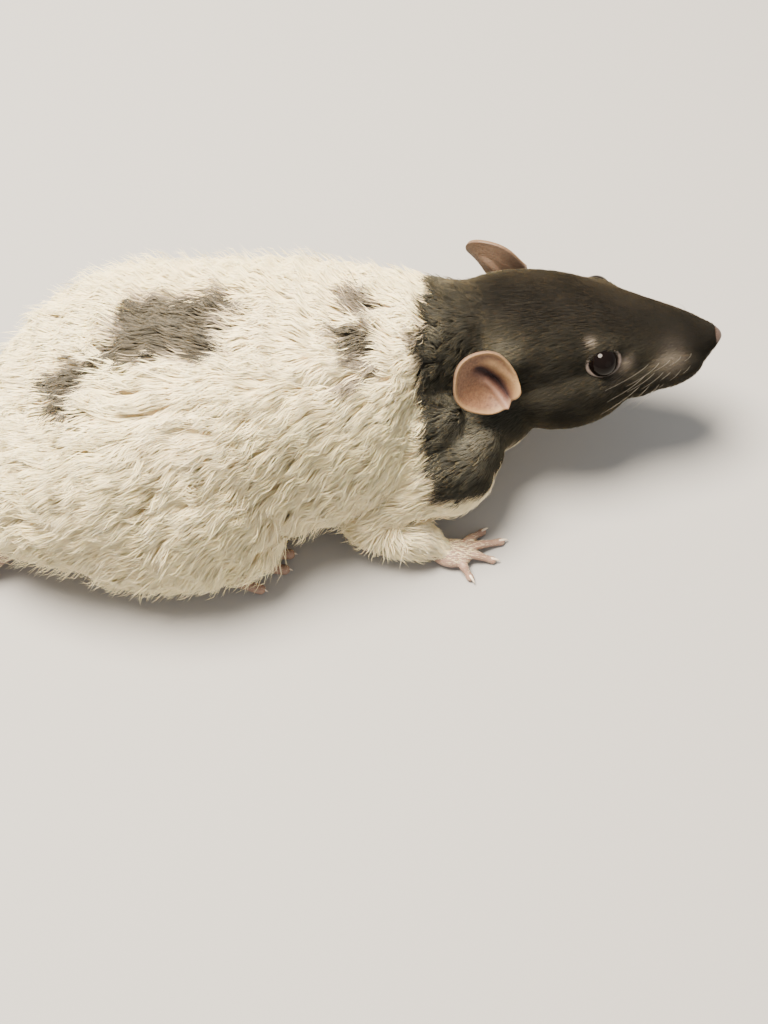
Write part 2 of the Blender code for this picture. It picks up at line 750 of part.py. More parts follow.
def main():
    for obj in list(bpy.data.objects):
        bpy.data.objects.remove(obj)
    head, rest = parted(make_flesh(), head_frame(), NECK_FRONT)
    head = finish_head(thinned(largest_only(head), HEAD_TRIANGLES))
    flesh = copy_of(largest_only(rest), "flesh")
    rest = add_coat(thinned(rest, TRUNK_TRIANGLES), flesh)
    bpy.data.objects.remove(flesh)

    legs = {}
    for word, side in SIDES.items():
        legs["thigh_" + word] = take_leg(rest, add_haunch, side, "thigh")
        legs["foreleg_" + word] = take_leg(rest, add_foreleg, side, "foreleg")
    neck, torso = parted(rest, Matrix.Identity(4), NECK_REAR)
    largest_only(neck)
    largest_only(torso)
    coated = [torso, neck, *legs.values()]

    for word, side in SIDES.items():
        foot = make_hindfoot(side, "foot")
        for node in coated:
            room = thinned(fused(grown(foot, FOOT_ROOM), 0.5, 0), FOOT_TRIANGLES)
            combined(node, room, "DIFFERENCE")
            largest_only(node)
        dress(foot, PAW_SKIN, "hindfoot_" + word)
        paw = make_forepaw(side, "paw")
        combined(paw, grown(legs["foreleg_" + word], GAP), "DIFFERENCE")
        dress(largest_only(paw), PAW_SKIN, "forepaw_" + word)
        ear = make_ear(word, side)
        for node in (head, neck):
            combined(ear, grown(node, GAP), "DIFFERENCE")
        dress(largest_only(ear), EAR_SKIN, "ear_" + word)
        dress(eye_ball(side, EYE_R, "eye"), DARK_EYE, "eye_" + word)

    tail = make_tail()
    combined(torso, grown(tail[0], 1.3 * GAP), "DIFFERENCE")
    for node in coated:
        on_floor(largest_only(node))
    for index, length in enumerate(tail):
        dress(length, TAIL_SKIN, f"tail_{index + 1}")
    dress(head, HOOD_COAT, "head")
    dress(neck, HOOD_COAT, "neck")
    dress(torso, WHITE_COAT, "torso")
    for name, leg in legs.items():
        dress(leg, WHITE_COAT, name)

    shift = Matrix.Translation(place(-BOX_MIDDLE[0], -BOX_MIDDLE[1], 0))
    for obj in bpy.data.objects:
        obj.data.transform(shift)


main()
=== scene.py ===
"""The looks of a hooded pet rat with a wavy coat, a still model of life size.

The rat faces +X and +Z is up. Sizes are in millimetres in the rat's own pose frame, whose +Y is
the rat's left, and each finished piece is moved so that the model's box stands on the origin.
"""

import math

import bmesh
import bpy
import numpy as np
from mathutils import Matrix, Vector
from mathutils.bvhtree import BVHTree
from mathutils.kdtree import KDTree


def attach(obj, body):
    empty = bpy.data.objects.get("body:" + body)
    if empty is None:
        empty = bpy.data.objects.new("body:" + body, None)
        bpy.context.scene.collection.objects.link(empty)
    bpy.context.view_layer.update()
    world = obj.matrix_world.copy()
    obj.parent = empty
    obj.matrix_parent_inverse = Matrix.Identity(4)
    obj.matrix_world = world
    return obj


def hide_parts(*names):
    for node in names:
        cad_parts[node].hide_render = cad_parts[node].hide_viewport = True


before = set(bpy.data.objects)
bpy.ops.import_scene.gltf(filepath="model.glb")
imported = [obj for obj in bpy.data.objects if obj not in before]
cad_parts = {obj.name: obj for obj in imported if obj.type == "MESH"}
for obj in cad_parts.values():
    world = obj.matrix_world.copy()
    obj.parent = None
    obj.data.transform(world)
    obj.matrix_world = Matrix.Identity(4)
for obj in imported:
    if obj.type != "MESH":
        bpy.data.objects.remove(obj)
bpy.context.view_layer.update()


# The skin: the rat's flesh under its coat.
# Trunk, legs, neck and head are one skin with no seam. It is built from the same forms as the
# solids, set in by the depth of the coat, which then grows on it.
MM = 0.001
SIDES = {"left": 1, "right": -1}
# The trunk's rows are x, y, z, half width, height above and height below, from rump to neck.
TRUNK = (
    (-95.0, -1.5, 21.0, 5.0, 6.0, 6.0),
    (-90.0, -2.5, 21.5, 13.5, 13.0, 13.0),
    (-82.0, 0.5, 22.5, 21.5, 20.5, 18.5),
    (-70.0, 5.0, 25.0, 30.5, 29.0, 24.5),
    (-54.0, 7.5, 26.0, 34.5, 35.0, 26.5),
    (-36.0, 9.5, 26.0, 32.0, 37.0, 26.5),
    (-18.0, 12.5, 26.0, 29.0, 36.2, 26.2),
    (0.0, 15.5, 26.0, 25.7, 31.0, 24.0),
    (13.0, 22.5, 28.0, 17.0, 21.5, 18.5),
    (26.0, 26.5, 31.0, 13.0, 14.0, 14.5),
)
COAT_DEPTH = {"x": (-10.0, 14.0), "depth": (3.3, 1.3)}
BELLY_DEPTH = 1.5
THROAT = ((19.0, 15.5, 22.0), (15.4, 12.4, 11.4))
NAPE = ((27.0, 19.5, 25.0), (12.4, 11.4, 11.4))
# A leg's places are given outwards from the middle line, which bends with the body. A form beside
# that line is its place, its half sizes and how far it is turned outwards in degrees.
HIPS_MIDDLE = 7.5
CHEST_MIDDLE = 14.5
HAUNCH = ((-45.5, 20.5, 21.5), (23.4, 12.0, 19.4), -6)
SHANK = ((-31.0, 21.5, 14.0, 9.5), (-45.0, 24.5, 9.0, 8.0), (-60.0, 24.0, 6.5, 6.5))
SHANK_DEPTH = 2.0
BLADE = ((4.0, 9.0, 24.0), (13.8, 11.8, 16.8), 0)
BREAST = ((18.5, 10.5, 21.5), (8.0, 6.5, 8.5), 30)
SHOULDER = ((9.5, 14.5, 19.5), (14.6, 8.8, 12.2), 12)
FORELEG = (
    (8.0, 17.0, 18.5, 8.5),
    (-4.0, 21.5, 11.5, 5.8),
    (3.5, 24.0, 7.4, 5.8),
    (8.4, 25.0, 5.8, 4.8),
    (13.4, 26.3, 3.2, 2.6),
)
FORELEG_SHARE = 0.84  # how much of the foreleg's radius is flesh
# The head's rows are x, top, bottom and half width, in its own frame between the eyes.
HEAD = (
    (-31.0, 9.0, -15.0, 12.0),
    (-21.0, 12.2, -19.0, 15.0),
    (-10.0, 11.2, -19.8, 15.8),
    (0.0, 8.6, -18.4, 13.0),
    (8.0, 5.6, -16.0, 10.2),
    (15.0, 2.6, -13.2, 8.0),
    (21.0, -0.4, -10.6, 6.2),
    (25.0, -2.6, -8.5, 4.2),
)
HEAD_DEPTH = 0.8
NOSE_TIP = ((23.6, 0.0, -5.2), (3.9, 3.8, 3.3))
CHIN = ((12.0, 0.0, -11.8), (9.8, 4.7, 3.5))
CHIN_PITCH = 6
WHISKER_PAD = ((14.5, 5.0, -7.9), (9.6, 5.7, 5.5), -12)
LIP = ((8.0, 5.8, -8.8), (8.5, 6.0, 5.8), 0)
CHEEK = ((-6.5, 8.0, -9.6), (15.2, 9.6, 10.2), -10)
BROW = ((0.2, 7.2, 0.2), (6.9, 4.8, 4.6), -16)
EAR_ROOT_AT = {"left": (-19.0, 8.7, 0.6), "right": (-19.0, -10.3, 0.6)}
EAR_ROOT_HALF = (7.6, 4.6, 5.6)
SKIN_VOXEL = 0.66
SKIN_ROUNDS = 8
FLOOR_ROOM = 0.4


def place(x, y, z):
    return Vector((x, y, z)) * MM


def turned(yaw=0.0, pitch=0.0, roll=0.0):
    """A rotation by a yaw, a pitch and a roll in degrees."""
    turn = Matrix.Rotation(math.radians(yaw), 4, "Z")
    tilt = Matrix.Rotation(math.radians(pitch), 4, "Y")
    return turn @ tilt @ Matrix.Rotation(math.radians(roll), 4, "X")


def facing(at, ahead, up):
    """The frame at a place whose x axis points ahead and whose z axis leans to up."""
    ahead = Vector(ahead).normalized()
    side = Vector(up).cross(ahead).normalized()
    turn = Matrix((ahead, side, ahead.cross(side))).transposed().to_4x4()
    return Matrix.Translation(place(*at)) @ turn


head_frame = Matrix.Translation(place(46.0, 26.1, 36.9)) @ turned(-1.0, -5.0, -7.0)


def smooth_rows(rows, steps):
    """The rows with more between them, all on one smooth curve."""
    table = np.array(rows, float)
    ends = np.vstack([2 * table[0] - table[1], table, 2 * table[-1] - table[-2]])
    found = []
    for before, start, end, after in zip(ends, ends[1:], ends[2:], ends[3:]):
        for t in np.arange(steps) / steps:
            bend = (2 * before - 5 * start + 4 * end - after) * t**2
            turn = (3 * start - before - 3 * end + after) * t**3
            found.append(0.5 * (2 * start + (end - before) * t + bend + turn))
    found.append(table[-1])
    return found


def add_loft(bm, rows, sides=24, ways=None):
    """A closed tube through rows of x, y, z, half width, height above and height below."""
    centres = [place(*row[:3]) for row in rows]
    rings = []
    for index, row in enumerate(rows):
        ahead = centres[min(index + 1, len(rows) - 1)] - centres[max(index - 1, 0)]
        if ways:
            ahead = ways[index]
        ring = bmesh.ops.create_circle(bm, radius=1, segments=sides)["verts"]
        for vert in ring:
            height = row[4] if vert.co.y > 0 else row[5]
            vert.co = place(0, vert.co.x * row[3], vert.co.y * height)
        bmesh.ops.transform(bm, matrix=facing(row[:3], ahead, (0, 0, 1)), verts=ring)
        rings.append(list({edge for vert in ring for edge in vert.link_edges}))
    for ring, following in zip(rings, rings[1:]):
        bmesh.ops.bridge_loops(bm, edges=ring + following)
    for ring in (rings[0], rings[-1]):
        bmesh.ops.contextual_create(bm, geom=ring)


def add_ball(bm, at, half, fineness=4, **turns):
    """An ellipsoid of three half sizes."""
    size = Matrix.Diagonal((*(h * MM for h in half), 1))
    matrix = Matrix.Translation(place(*at)) @ turned(**turns) @ size
    bmesh.ops.create_icosphere(bm, subdivisions=fineness, radius=1, matrix=matrix)


def add_limb(bm, joints, sides=20, steps=5):
    """A round limb through rows of x, y, z and radius, with a ball at each end."""
    rows = [(*row[:3], row[3], row[3], row[3]) for row in smooth_rows(joints, steps)]
    add_loft(bm, rows, sides)
    for end in (joints[0], joints[-1]):
        add_ball(bm, end[:3], (end[3],) * 3, fineness=3)


def leg_place(middle, side, row):
    """A leg's place or row, given outwards from the middle line, as one in the pose frame."""
    return (row[0], middle + side * row[1], *row[2:])


def add_side_form(bm, middle, side, form):
    at, half, yaw = form
    add_ball(bm, leg_place(middle, side, at), half, yaw=side * yaw)


def made_object(name, bm):
    bmesh.ops.recalc_face_normals(bm, faces=bm.faces)
    mesh = bpy.data.meshes.new(name)
    bm.to_mesh(mesh)
    bm.free()
    piece = bpy.data.objects.new(name, mesh)
    bpy.context.scene.collection.objects.link(piece)
    return piece


def applied(piece):
    """Replaces the piece's mesh by what its modifiers make of it."""
    bpy.context.view_layer.update()
    graph = bpy.context.evaluated_depsgraph_get()
    mesh = bpy.data.meshes.new_from_object(piece.evaluated_get(graph))
    piece.modifiers.clear()
    piece.data = mesh
    return piece


def fused(piece, voxel, rounds):
    """One surface over all the forms in the piece, smoothed where they meet."""
    remesh = piece.modifiers.new("Skin", "REMESH")
    remesh.mode = "VOXEL"
    remesh.voxel_size = voxel * MM
    smooth = piece.modifiers.new("Blend", "SMOOTH")
    smooth.factor = 0.5
    smooth.iterations = rounds
    return applied(piece)


def on_floor(piece, height=0.0):
    """Cuts the piece flat where it stands on the floor."""
    bm = bmesh.new()
    bm.from_mesh(piece.data)
    cut = bmesh.ops.bisect_plane(
        bm,
        geom=bm.verts[:] + bm.edges[:] + bm.faces[:],
        plane_co=place(0, 0, height),
        plane_no=(0, 0, -1),
        clear_outer=True,
    )
    rim = [edge for edge in cut["geom_cut"] if isinstance(edge, bmesh.types.BMEdge)]
    bmesh.ops.holes_fill(bm, edges=rim)
    bmesh.ops.recalc_face_normals(bm, faces=bm.faces)
    bm.to_mesh(piece.data)
    bm.free()
    return piece


def add_skull(bm):
    """Skull, muzzle, whisker pads, cheeks, brows and ear roots, in the head's own frame."""
    rows = []
    for x, top, bottom, half_width in smooth_rows(HEAD, 5):
        depth = float(np.interp(x, (-10, 20), (HEAD_DEPTH, 0)))
        top, bottom = top - depth, bottom + depth
        middle = 0.55 * top + 0.45 * bottom - 1.5
        rows.append((x, 0.0, middle, half_width - depth, top - middle, middle - bottom))
    add_loft(bm, rows, 36)
    add_ball(bm, *NOSE_TIP)
    add_ball(bm, *CHIN, pitch=CHIN_PITCH)
    for word, side in SIDES.items():
        for form in (WHISKER_PAD, LIP, CHEEK, BROW):
            add_side_form(bm, 0.0, side, form)
        add_ball(bm, EAR_ROOT_AT[word], EAR_ROOT_HALF)


def make_skin():
    bm = bmesh.new()
    add_skull(bm)
    bmesh.ops.transform(bm, matrix=head_frame, verts=bm.verts)
    trunk = []
    for row in smooth_rows(TRUNK, 5):
        depth = np.interp(row[0], COAT_DEPTH["x"], COAT_DEPTH["depth"])
        trunk.append((*row[:3], row[3] - depth, row[4] - depth, row[5] - BELLY_DEPTH))
    add_loft(bm, trunk, 48, [(1, 0, 0)] * len(trunk))
    add_ball(bm, *THROAT)
    add_ball(bm, *NAPE)
    for side in SIDES.values():
        add_side_form(bm, CHEST_MIDDLE, side, BLADE)
        add_side_form(bm, CHEST_MIDDLE, side, BREAST)
        add_side_form(bm, HIPS_MIDDLE, side, HAUNCH)
        rows = [leg_place(HIPS_MIDDLE, side, row) for row in SHANK]
        add_limb(bm, [(*row[:3], row[3] - SHANK_DEPTH) for row in rows])
        add_side_form(bm, CHEST_MIDDLE, side, SHOULDER)
        rows = [leg_place(CHEST_MIDDLE, side, row) for row in FORELEG]
        add_limb(bm, [(*row[:3], row[3] * FORELEG_SHARE) for row in rows])
    return on_floor(fused(made_object("skin", bm), SKIN_VOXEL, SKIN_ROUNDS), FLOOR_ROOM)


def vertex_table(piece):
    """The places and normals of a piece's vertices, in millimetres and as arrays."""
    mesh = piece.data
    count = len(mesh.vertices)
    places = np.empty(count * 3)
    normals = np.empty(count * 3)
    mesh.vertices.foreach_get("co", places)
    mesh.vertices.foreach_get("normal", normals)
    return places.reshape(-1, 3) / MM, normals.reshape(-1, 3)


def in_head(points):
    """Points of the pose frame in the head's frame, both in millimetres."""
    back = np.array(head_frame.inverted())
    return points @ back[:3, :3].T + back[:3, 3] / MM


def step_up(values, low, high):
    """Rises smoothly from 0 at low to 1 at high."""
    t = np.clip((values - low) / (high - low), 0, 1)
    return t * t * (3 - 2 * t)


def drift(points, size, seed):
    """A smooth random value of about -1 to 1 at each point, in waves of about this size."""
    rng = np.random.default_rng(seed)
    total = np.zeros(len(points))
    for _ in range(8):
        way = rng.normal(size=3)
        way *= 2 * math.pi / size * rng.uniform(0.7, 1.4) / np.linalg.norm(way)
        total += np.sin(points @ way + rng.uniform(0, 2 * math.pi))
    return total / 3.4


MOUTH_HEIGHT = -10.9
CREASE_DEPTH = 0.9
skin = make_skin()
points, normals = vertex_table(skin)
head_points = in_head(points)
# The line of the mouth runs back under the whisker pads, and the cleft down from the nose to it.
line = MOUTH_HEIGHT + 0.09 * (head_points[:, 0] - 16.5)
mouth = np.exp(-(((head_points[:, 2] - line) / 0.55) ** 2))
mouth *= step_up(head_points[:, 0], 7.5, 11.0)
cleft = np.exp(-((head_points[:, 1] / 0.5) ** 2)) * step_up(head_points[:, 0], 23.0, 24.5)
cleft *= step_up(-head_points[:, 2], 6.8, 8.0) * (1 - step_up(-head_points[:, 2], 10.5, 11.5))
crease = np.maximum(mouth, cleft)
points -= normals * (CREASE_DEPTH * crease)[:, None]
skin.data.vertices.foreach_set("co", (points * MM).ravel())


# The markings: one rule for the colour of skin and coat.
# A hood of dark agouti grey covers head, neck and shoulders and ends in a ragged line. Behind it
# the coat is cream white with a few grey spots on the right of the spine.
SLANT = (0.866, 0.5)  # how much y and z add to s, a point's height on the back as seen aslant
HOOD_EDGE = {"s": (4, 10, 17, 27, 35, 47), "x": (10.0, 6.9, 6.0, 4.8, 3.4, 7.2)}
HOOD_LOWEST = 20.5
# Each spot is its middle by x and by s, its half sizes, how far it is turned, and its strength.
SPOTS = (
    (-44.2, 36.4, 12.2, 7.0, 8, 0.95),
    (-36.2, 40.0, 7.4, 3.6, 8, 0.95),
    (-52.4, 32.0, 6.8, 2.4, 16, 0.95),
    (-39.0, 31.8, 5.6, 3.0, -12, 0.95),
    (-64.7, 24.5, 5.8, 3.9, 48, 0.95),
    (-8.6, 34.4, 5.6, 2.7, -4, 0.95),
    (-7.4, 30.2, 4.6, 1.9, -38, 0.8),
    (-8.0, 42.0, 3.8, 3.4, 0, 0.8),
    (-9.6, 25.2, 3.4, 2.1, 20, 0.65),
)
SPOT_SHADE = 0.67
# Pale patches of the face, in the head's frame: a place, its size and its strength.
PALE = (
    ((5.1, 9.6, -2.4), 1.8, 0.42),
    ((2.4, 11.0, -5.2), 1.8, 0.18),
    ((-2.2, 9.4, 4.2), 1.0, 0.26),
    ((15.5, 6.8, -4.4), 3.4, 0.11),
)


def hood_share(points, normals):
    """How dark each point's coat is, from 0 for cream white to 1 for the hood's grey."""
    ragged = drift(points, 9.0, 3) + 0.7 * drift(points, 3.6, 4)
    s = SLANT[0] * points[:, 1] + SLANT[1] * points[:, 2]
    edge = np.interp(s, HOOD_EDGE["s"], HOOD_EDGE["x"]) + ragged
    hood = step_up(points[:, 0] - edge, -1.1, 1.1)
    lowest = HOOD_LOWEST - 1.5 * step_up(points[:, 0], 14, 22) + 1.2 * ragged
    hood *= step_up(points[:, 2] - lowest, -1.5, 1.5)
    head = in_head(points)
    on_head = step_up(head[:, 0], -26, -18) * step_up(head[:, 2], -19.5, -16.5)
    hood = np.maximum(hood, on_head)
    for at, size, strength in PALE:
        away = (head - np.array(at) * (1, -1, 1)) ** 2
        mirror = (head - np.array(at)) ** 2
        near = np.exp(-away.sum(1) / size**2) + np.exp(-mirror.sum(1) / size**2)
        hood *= 1 - strength * np.clip(near, 0, 1)
    warped = points[:, 0] + 1.4 * drift(points, 6.0, 5)
    s += 0.6 * drift(points, 4.5, 6)
    seen = step_up(normals @ np.array((0, -SLANT[1], SLANT[0])), 0.05, 0.25)
    for x, middle, half_x, half_s, turn, strength in SPOTS:
        cos = math.cos(math.radians(turn))
        sin = math.sin(math.radians(turn))
        across = warped - x
        up = s - middle
        along = (across * cos + up * sin) / half_x
        square = (up * cos - across * sin) / half_s
        spot = 1 - step_up(np.hypot(along, square), 0.80, 1.10)
        hood = np.maximum(hood, spot * strength * seen)
    return hood


def trunk_middle(points):
    """The y of the trunk's bent middle line beside each point."""
    rows = np.array(TRUNK)
    return np.interp(points[:, 0], rows[:, 0], rows[:, 1])


# The grey is painted lighter low on the neck's side and under the back of the jaw: painted light
# where the head's shade falls. Towards the crown it darkens, partly as the fur's own darker crown
# and partly as painted shade against the lamp above.
def shade_of_grey(points, face, hood):
    """How dark the grey is: 0 where it is lightest, on the neck's side, and 1 on the crown."""
    middle = trunk_middle(points)
    side = SLANT[0] * (middle - abs(points[:, 1] - middle)) + SLANT[1] * points[:, 2]
    neck = np.interp(side, (5, 13, 20, 33, 40), (0.7, 0.52, 0.36, 0.62, 0.67))
    shade = SPOT_SHADE + (neck - SPOT_SHADE) * step_up(points[:, 0], 0, 5)
    head = in_head(points)
    rows = np.array(HEAD)
    below_crown = np.interp(head[:, 0], rows[:, 0], rows[:, 1]) - head[:, 2]
    cheek = np.interp(head[:, 0], (-28, -15), (0.4, 0.83))
    crown = cheek + (1 - cheek) * (1 - step_up(below_crown, 1, 7))
    shade += face * (crown - shade)
    return shade * step_up(hood, 0.3, 0.7)


def add_attribute(piece, name, values):
    layer = piece.data.attributes.new(name, "FLOAT", "POINT")
    layer.data.foreach_set("value", values.astype(np.float32))


def colour(code):
    """The linear colour of an sRGB hex value."""
    parts = [int(code[i : i + 2], 16) / 255 for i in (0, 2, 4)]
    return (*(c / 12.92 if c <= 0.04045 else ((c + 0.055) / 1.055) ** 2.4 for c in parts), 1)


COLOUR_MIX = {"data_type": "RGBA", "output": 2}  # for a Mix node, of colours 6 and 7 by factor 0


def add_node(tree, kind, *inputs, output=0, **settings):
    """Adds a node and gives one output. Its inputs are pairs of a socket and its value or link."""
    made = tree.nodes.new("ShaderNode" + kind)
    for name, value in settings.items():
        setattr(made, name, value)
    for name, value in inputs:
        if isinstance(value, bpy.types.NodeSocket):
            tree.links.new(value, made.inputs[name])
        else:
            made.inputs[name].default_value = value
    return made.outputs[output]


def new_material(name):
    material = bpy.data.materials.new(name)
    material.use_nodes = True
    tree = material.node_tree
    return material, tree, tree.nodes["Principled BSDF"]


def fur_material(name, bump):
    """Fur of a rex rat: soft wavy hair, cream where unpigmented and brown-grey agouti else.

    Soft hair scatters the light, so it looks matt and its shadows are warm. Each hair is a little
    lighter at its tip, and the coat warms to yellow or pink in patches.
    """
    material, tree, shader = new_material(name)
    at = add_node(tree, "TexCoord", output="Object")
    along = add_node(tree, "Attribute", output="Fac", attribute_name="along")
    hood = add_node(tree, "Attribute", output="Fac", attribute_name="hood")
    shade = add_node(tree, "Attribute", output="Fac", attribute_name="shade")
    tone = add_node(tree, "Attribute", output="Fac", attribute_name="tone")
    wide = add_node(tree, "TexNoise", ("Vector", at), ("Scale", 1000 / 26))
    tints = ((0, wide), (6, colour("FFEEB6")), (7, colour("FFE6BE")))
    warm = add_node(tree, "Mix", *tints, **COLOUR_MIX)
    tip = add_node(tree, "Mix", (0, along), (6, colour("FAE2B4")), (7, warm), **COLOUR_MIX)
    # The shade attribute greys the hood and its pale patches: lighter low on the neck and under the
    # jaw as painted light, and darker on the crown partly as painted shade.
    white = add_node(tree, "Mix", (0, shade), (6, tip), (7, colour("CFC1B6")), **COLOUR_MIX)
    cloud = add_node(tree, "TexNoise", ("Vector", at), ("Scale", 1000 / 9), ("Detail", 3.0))
    mottled = add_node(tree, "MapRange", ("Value", cloud), ("To Min", -1.0), ("To Max", 2.0))
    light_greys = ((0, mottled), (6, colour("4E4D45")), (7, colour("716F63")))
    light = add_node(tree, "Mix", *light_greys, **COLOUR_MIX)
    deep_greys = ((0, mottled), (6, colour("0E0D0B")), (7, colour("1B1916")))
    deep = add_node(tree, "Mix", *deep_greys, **COLOUR_MIX)
    grey = add_node(tree, "Mix", (0, shade), (6, light), (7, deep), **COLOUR_MIX)
    dark = add_node(tree, "Mix", (0, along), (6, colour("151411")), (7, grey), **COLOUR_MIX)
    base = add_node(tree, "Mix", (0, hood), (6, white), (7, dark), **COLOUR_MIX)
    dimmed = add_node(tree, "MapRange", ("Value", tone), ("To Min", 0.93), ("To Max", 1.02))
    by_tone = ((0, 1.0), (6, base), (7, dimmed))
    base = add_node(tree, "Mix", *by_tone, blend_type="MULTIPLY", **COLOUR_MIX)
    tree.links.new(base, shader.inputs["Base Color"])
    shader.inputs["Roughness"].default_value = 0.78
    shader.inputs["Specular IOR Level"].default_value = 0.07
    shader.inputs["Subsurface Weight"].default_value = 0.5
    shader.inputs["Subsurface Radius"].default_value = (0.002, 0.0016, 0.001)
    if bump:
        # Real hairs are too fine to show, so the grain is drawn as coarse as 0.7 mm.
        grain = add_node(tree, "TexNoise", ("Vector", at), ("Scale", 1000 / 0.7), ("Detail", 4.0))
        height = (("Height", grain), ("Strength", 0.5), ("Distance", 0.0003))
        tree.links.new(add_node(tree, "Bump", *height), shader.inputs["Normal"])
    return material


BOX_MIDDLE = (-26.19, 12.21)
to_model = Matrix.Translation(place(-BOX_MIDDLE[0], -BOX_MIDDLE[1], 0))


def finished(piece, material, slot, *nodes, smooth=True):
    """Gives a piece its material and its place in the model, and hides the model's parts that it
    stands for.
    """
    piece.data.materials.clear()
    piece.data.materials.append(material)
    if smooth:
        piece.data.shade_smooth()
    piece.data.transform(to_model)
    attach(piece, "root")
    if nodes:
        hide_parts(*nodes)
    return piece


# The coat: short wavy rex fur, some 7 mm long on the body and 1.5 to 3 mm on the face.
# Every tuft is a thin solid blade of hair that roots in the skin and lies backwards. Tufts of
# one lock share their bend and close up to its tip, and all share the waves of the coat.
COAT_SEED = 11
SHOWN_SHARE = 0.8  # how far along a tuft lies the place whose marking it takes
UNDER_SHARE = 0.4  # the same for the skin below
LOCK_SHARE = 34  # tufts to one lock
RIDGE = 6.2  # from one wave of the coat to the next
BODY_RINGS = (0.34, 0.7)  # where along a tuft its rings lie, between root and tip
FACE_RINGS = (0.45,)
COVER = 4.4  # how many tufts lie over each point of the skin
PIECE_TRIANGLES = 190000


def coat_sizes(points):
    """Length, width and depth of the coat at each point, and how much it belongs to the face."""
    head = in_head(points)
    face = step_up(head[:, 0], -36, -18) * step_up(points[:, 2], 10, 18)
    muzzle = step_up(head[:, 0], 0, 17) * face
    front = step_up(points[:, 0], -8, 14)
    low = 1 - step_up(points[:, 2], 3, 14)
    length = 7.0 - 1.4 * front - 2.2 * low * (1 - 0.4 * front)
    out = abs(points[:, 1] - CHEST_MIDDLE)
    wrist = step_up(points[:, 0], 3, 12) * (1 - step_up(points[:, 2], 9, 13)) * step_up(out, 17, 20)
    length += wrist * (2.0 - length)
    length += face * (2.8 - length)
    length += muzzle * (1.5 - length)
    width = 0.235 - 0.02 * front
    width += face * (0.17 - width)
    width += muzzle * (0.14 - width)
    depth = np.interp(points[:, 0], COAT_DEPTH["x"], COAT_DEPTH["depth"])
    depth *= (1 - 0.5 * low) * (1 - 0.5 * wrist)
    depth += face * (0.62 - depth)
    depth += muzzle * (0.35 - depth)
    return length, width, depth, face, low


def surface_of(piece):
    """The piece's surface, on which the nearest place to any point can be found."""
    places, _ = vertex_table(piece)
    return BVHTree.FromPolygons(places.tolist(), [tuple(p.vertices) for p in piece.data.polygons])


def scattered(piece, sizes_of, rng):
    """Random places on a piece's surface, closer where the tufts are smaller, and its normals."""
    mesh = piece.data
    mesh.calc_loop_triangles()
    corners = np.empty(len(mesh.loop_triangles) * 3, int)
    mesh.loop_triangles.foreach_get("vertices", corners)
    corners = corners.reshape(-1, 3)
    places, ways = vertex_table(piece)
    a, b, c = (places[corners[:, k]] for k in range(3))
    area = np.linalg.norm(np.cross(b - a, c - a), axis=1) / 2
    middles = (a + b + c) / 3
    length, width, *_ = sizes_of(middles)
    density = COVER / (length * width * 0.56)
    density = np.minimum(density, 8.0)
    out = ways[corners[:, 0]]
    density *= np.where((out[:, 2] < -0.6) & (middles[:, 2] < 8), 0.3, 1.0)
    total = np.cumsum(area * density)
    count = int(total[-1])
    picks = np.searchsorted(total, (np.arange(count) + rng.random(count)) * total[-1] / count)
    picks = np.minimum(picks, len(corners) - 1)
    u, v = rng.random(count), rng.random(count)
    flip = u + v > 1
    u[flip], v[flip] = 1 - u[flip], 1 - v[flip]
    shares = np.stack([1 - u - v, u, v], 1)[:, :, None]
    roots = (places[corners[picks]] * shares).sum(1)
    out = (ways[corners[picks]] * shares).sum(1)
    return roots, out / np.linalg.norm(out, axis=1, keepdims=True)


def unit(vectors):
    return vectors / np.maximum(np.linalg.norm(vectors, axis=1, keepdims=True), 1e-9)


def lie_of_coat(roots, out, face, low):
    """The way in which the coat lies at each root, flat on the skin."""
    way = np.tile((-1.0, 0.0, -0.3), (len(roots), 1))
    way[:, 2] -= 0.9 * low
    beside = roots[:, 1] - CHEST_MIDDLE
    leg = step_up(roots[:, 0], -5, 3) * (1 - step_up(roots[:, 2], 11, 16))
    leg *= step_up(abs(beside), 15, 19)
    to_paw = np.stack([beside * 0 + 0.85, 0.2 * np.sign(beside), beside * 0 - 0.5], 1)
    way += leg[:, None] * (to_paw - way)
    turn = np.array(head_frame.to_3x3())
    from_nose = in_head(roots) * (0.0, 0.03, 0.01) + (-1.0, 0.0, -0.05)
    way += face[:, None] * (from_nose @ turn.T - way)
    way -= out * (way * out).sum(1, keepdims=True)
    return unit(way)


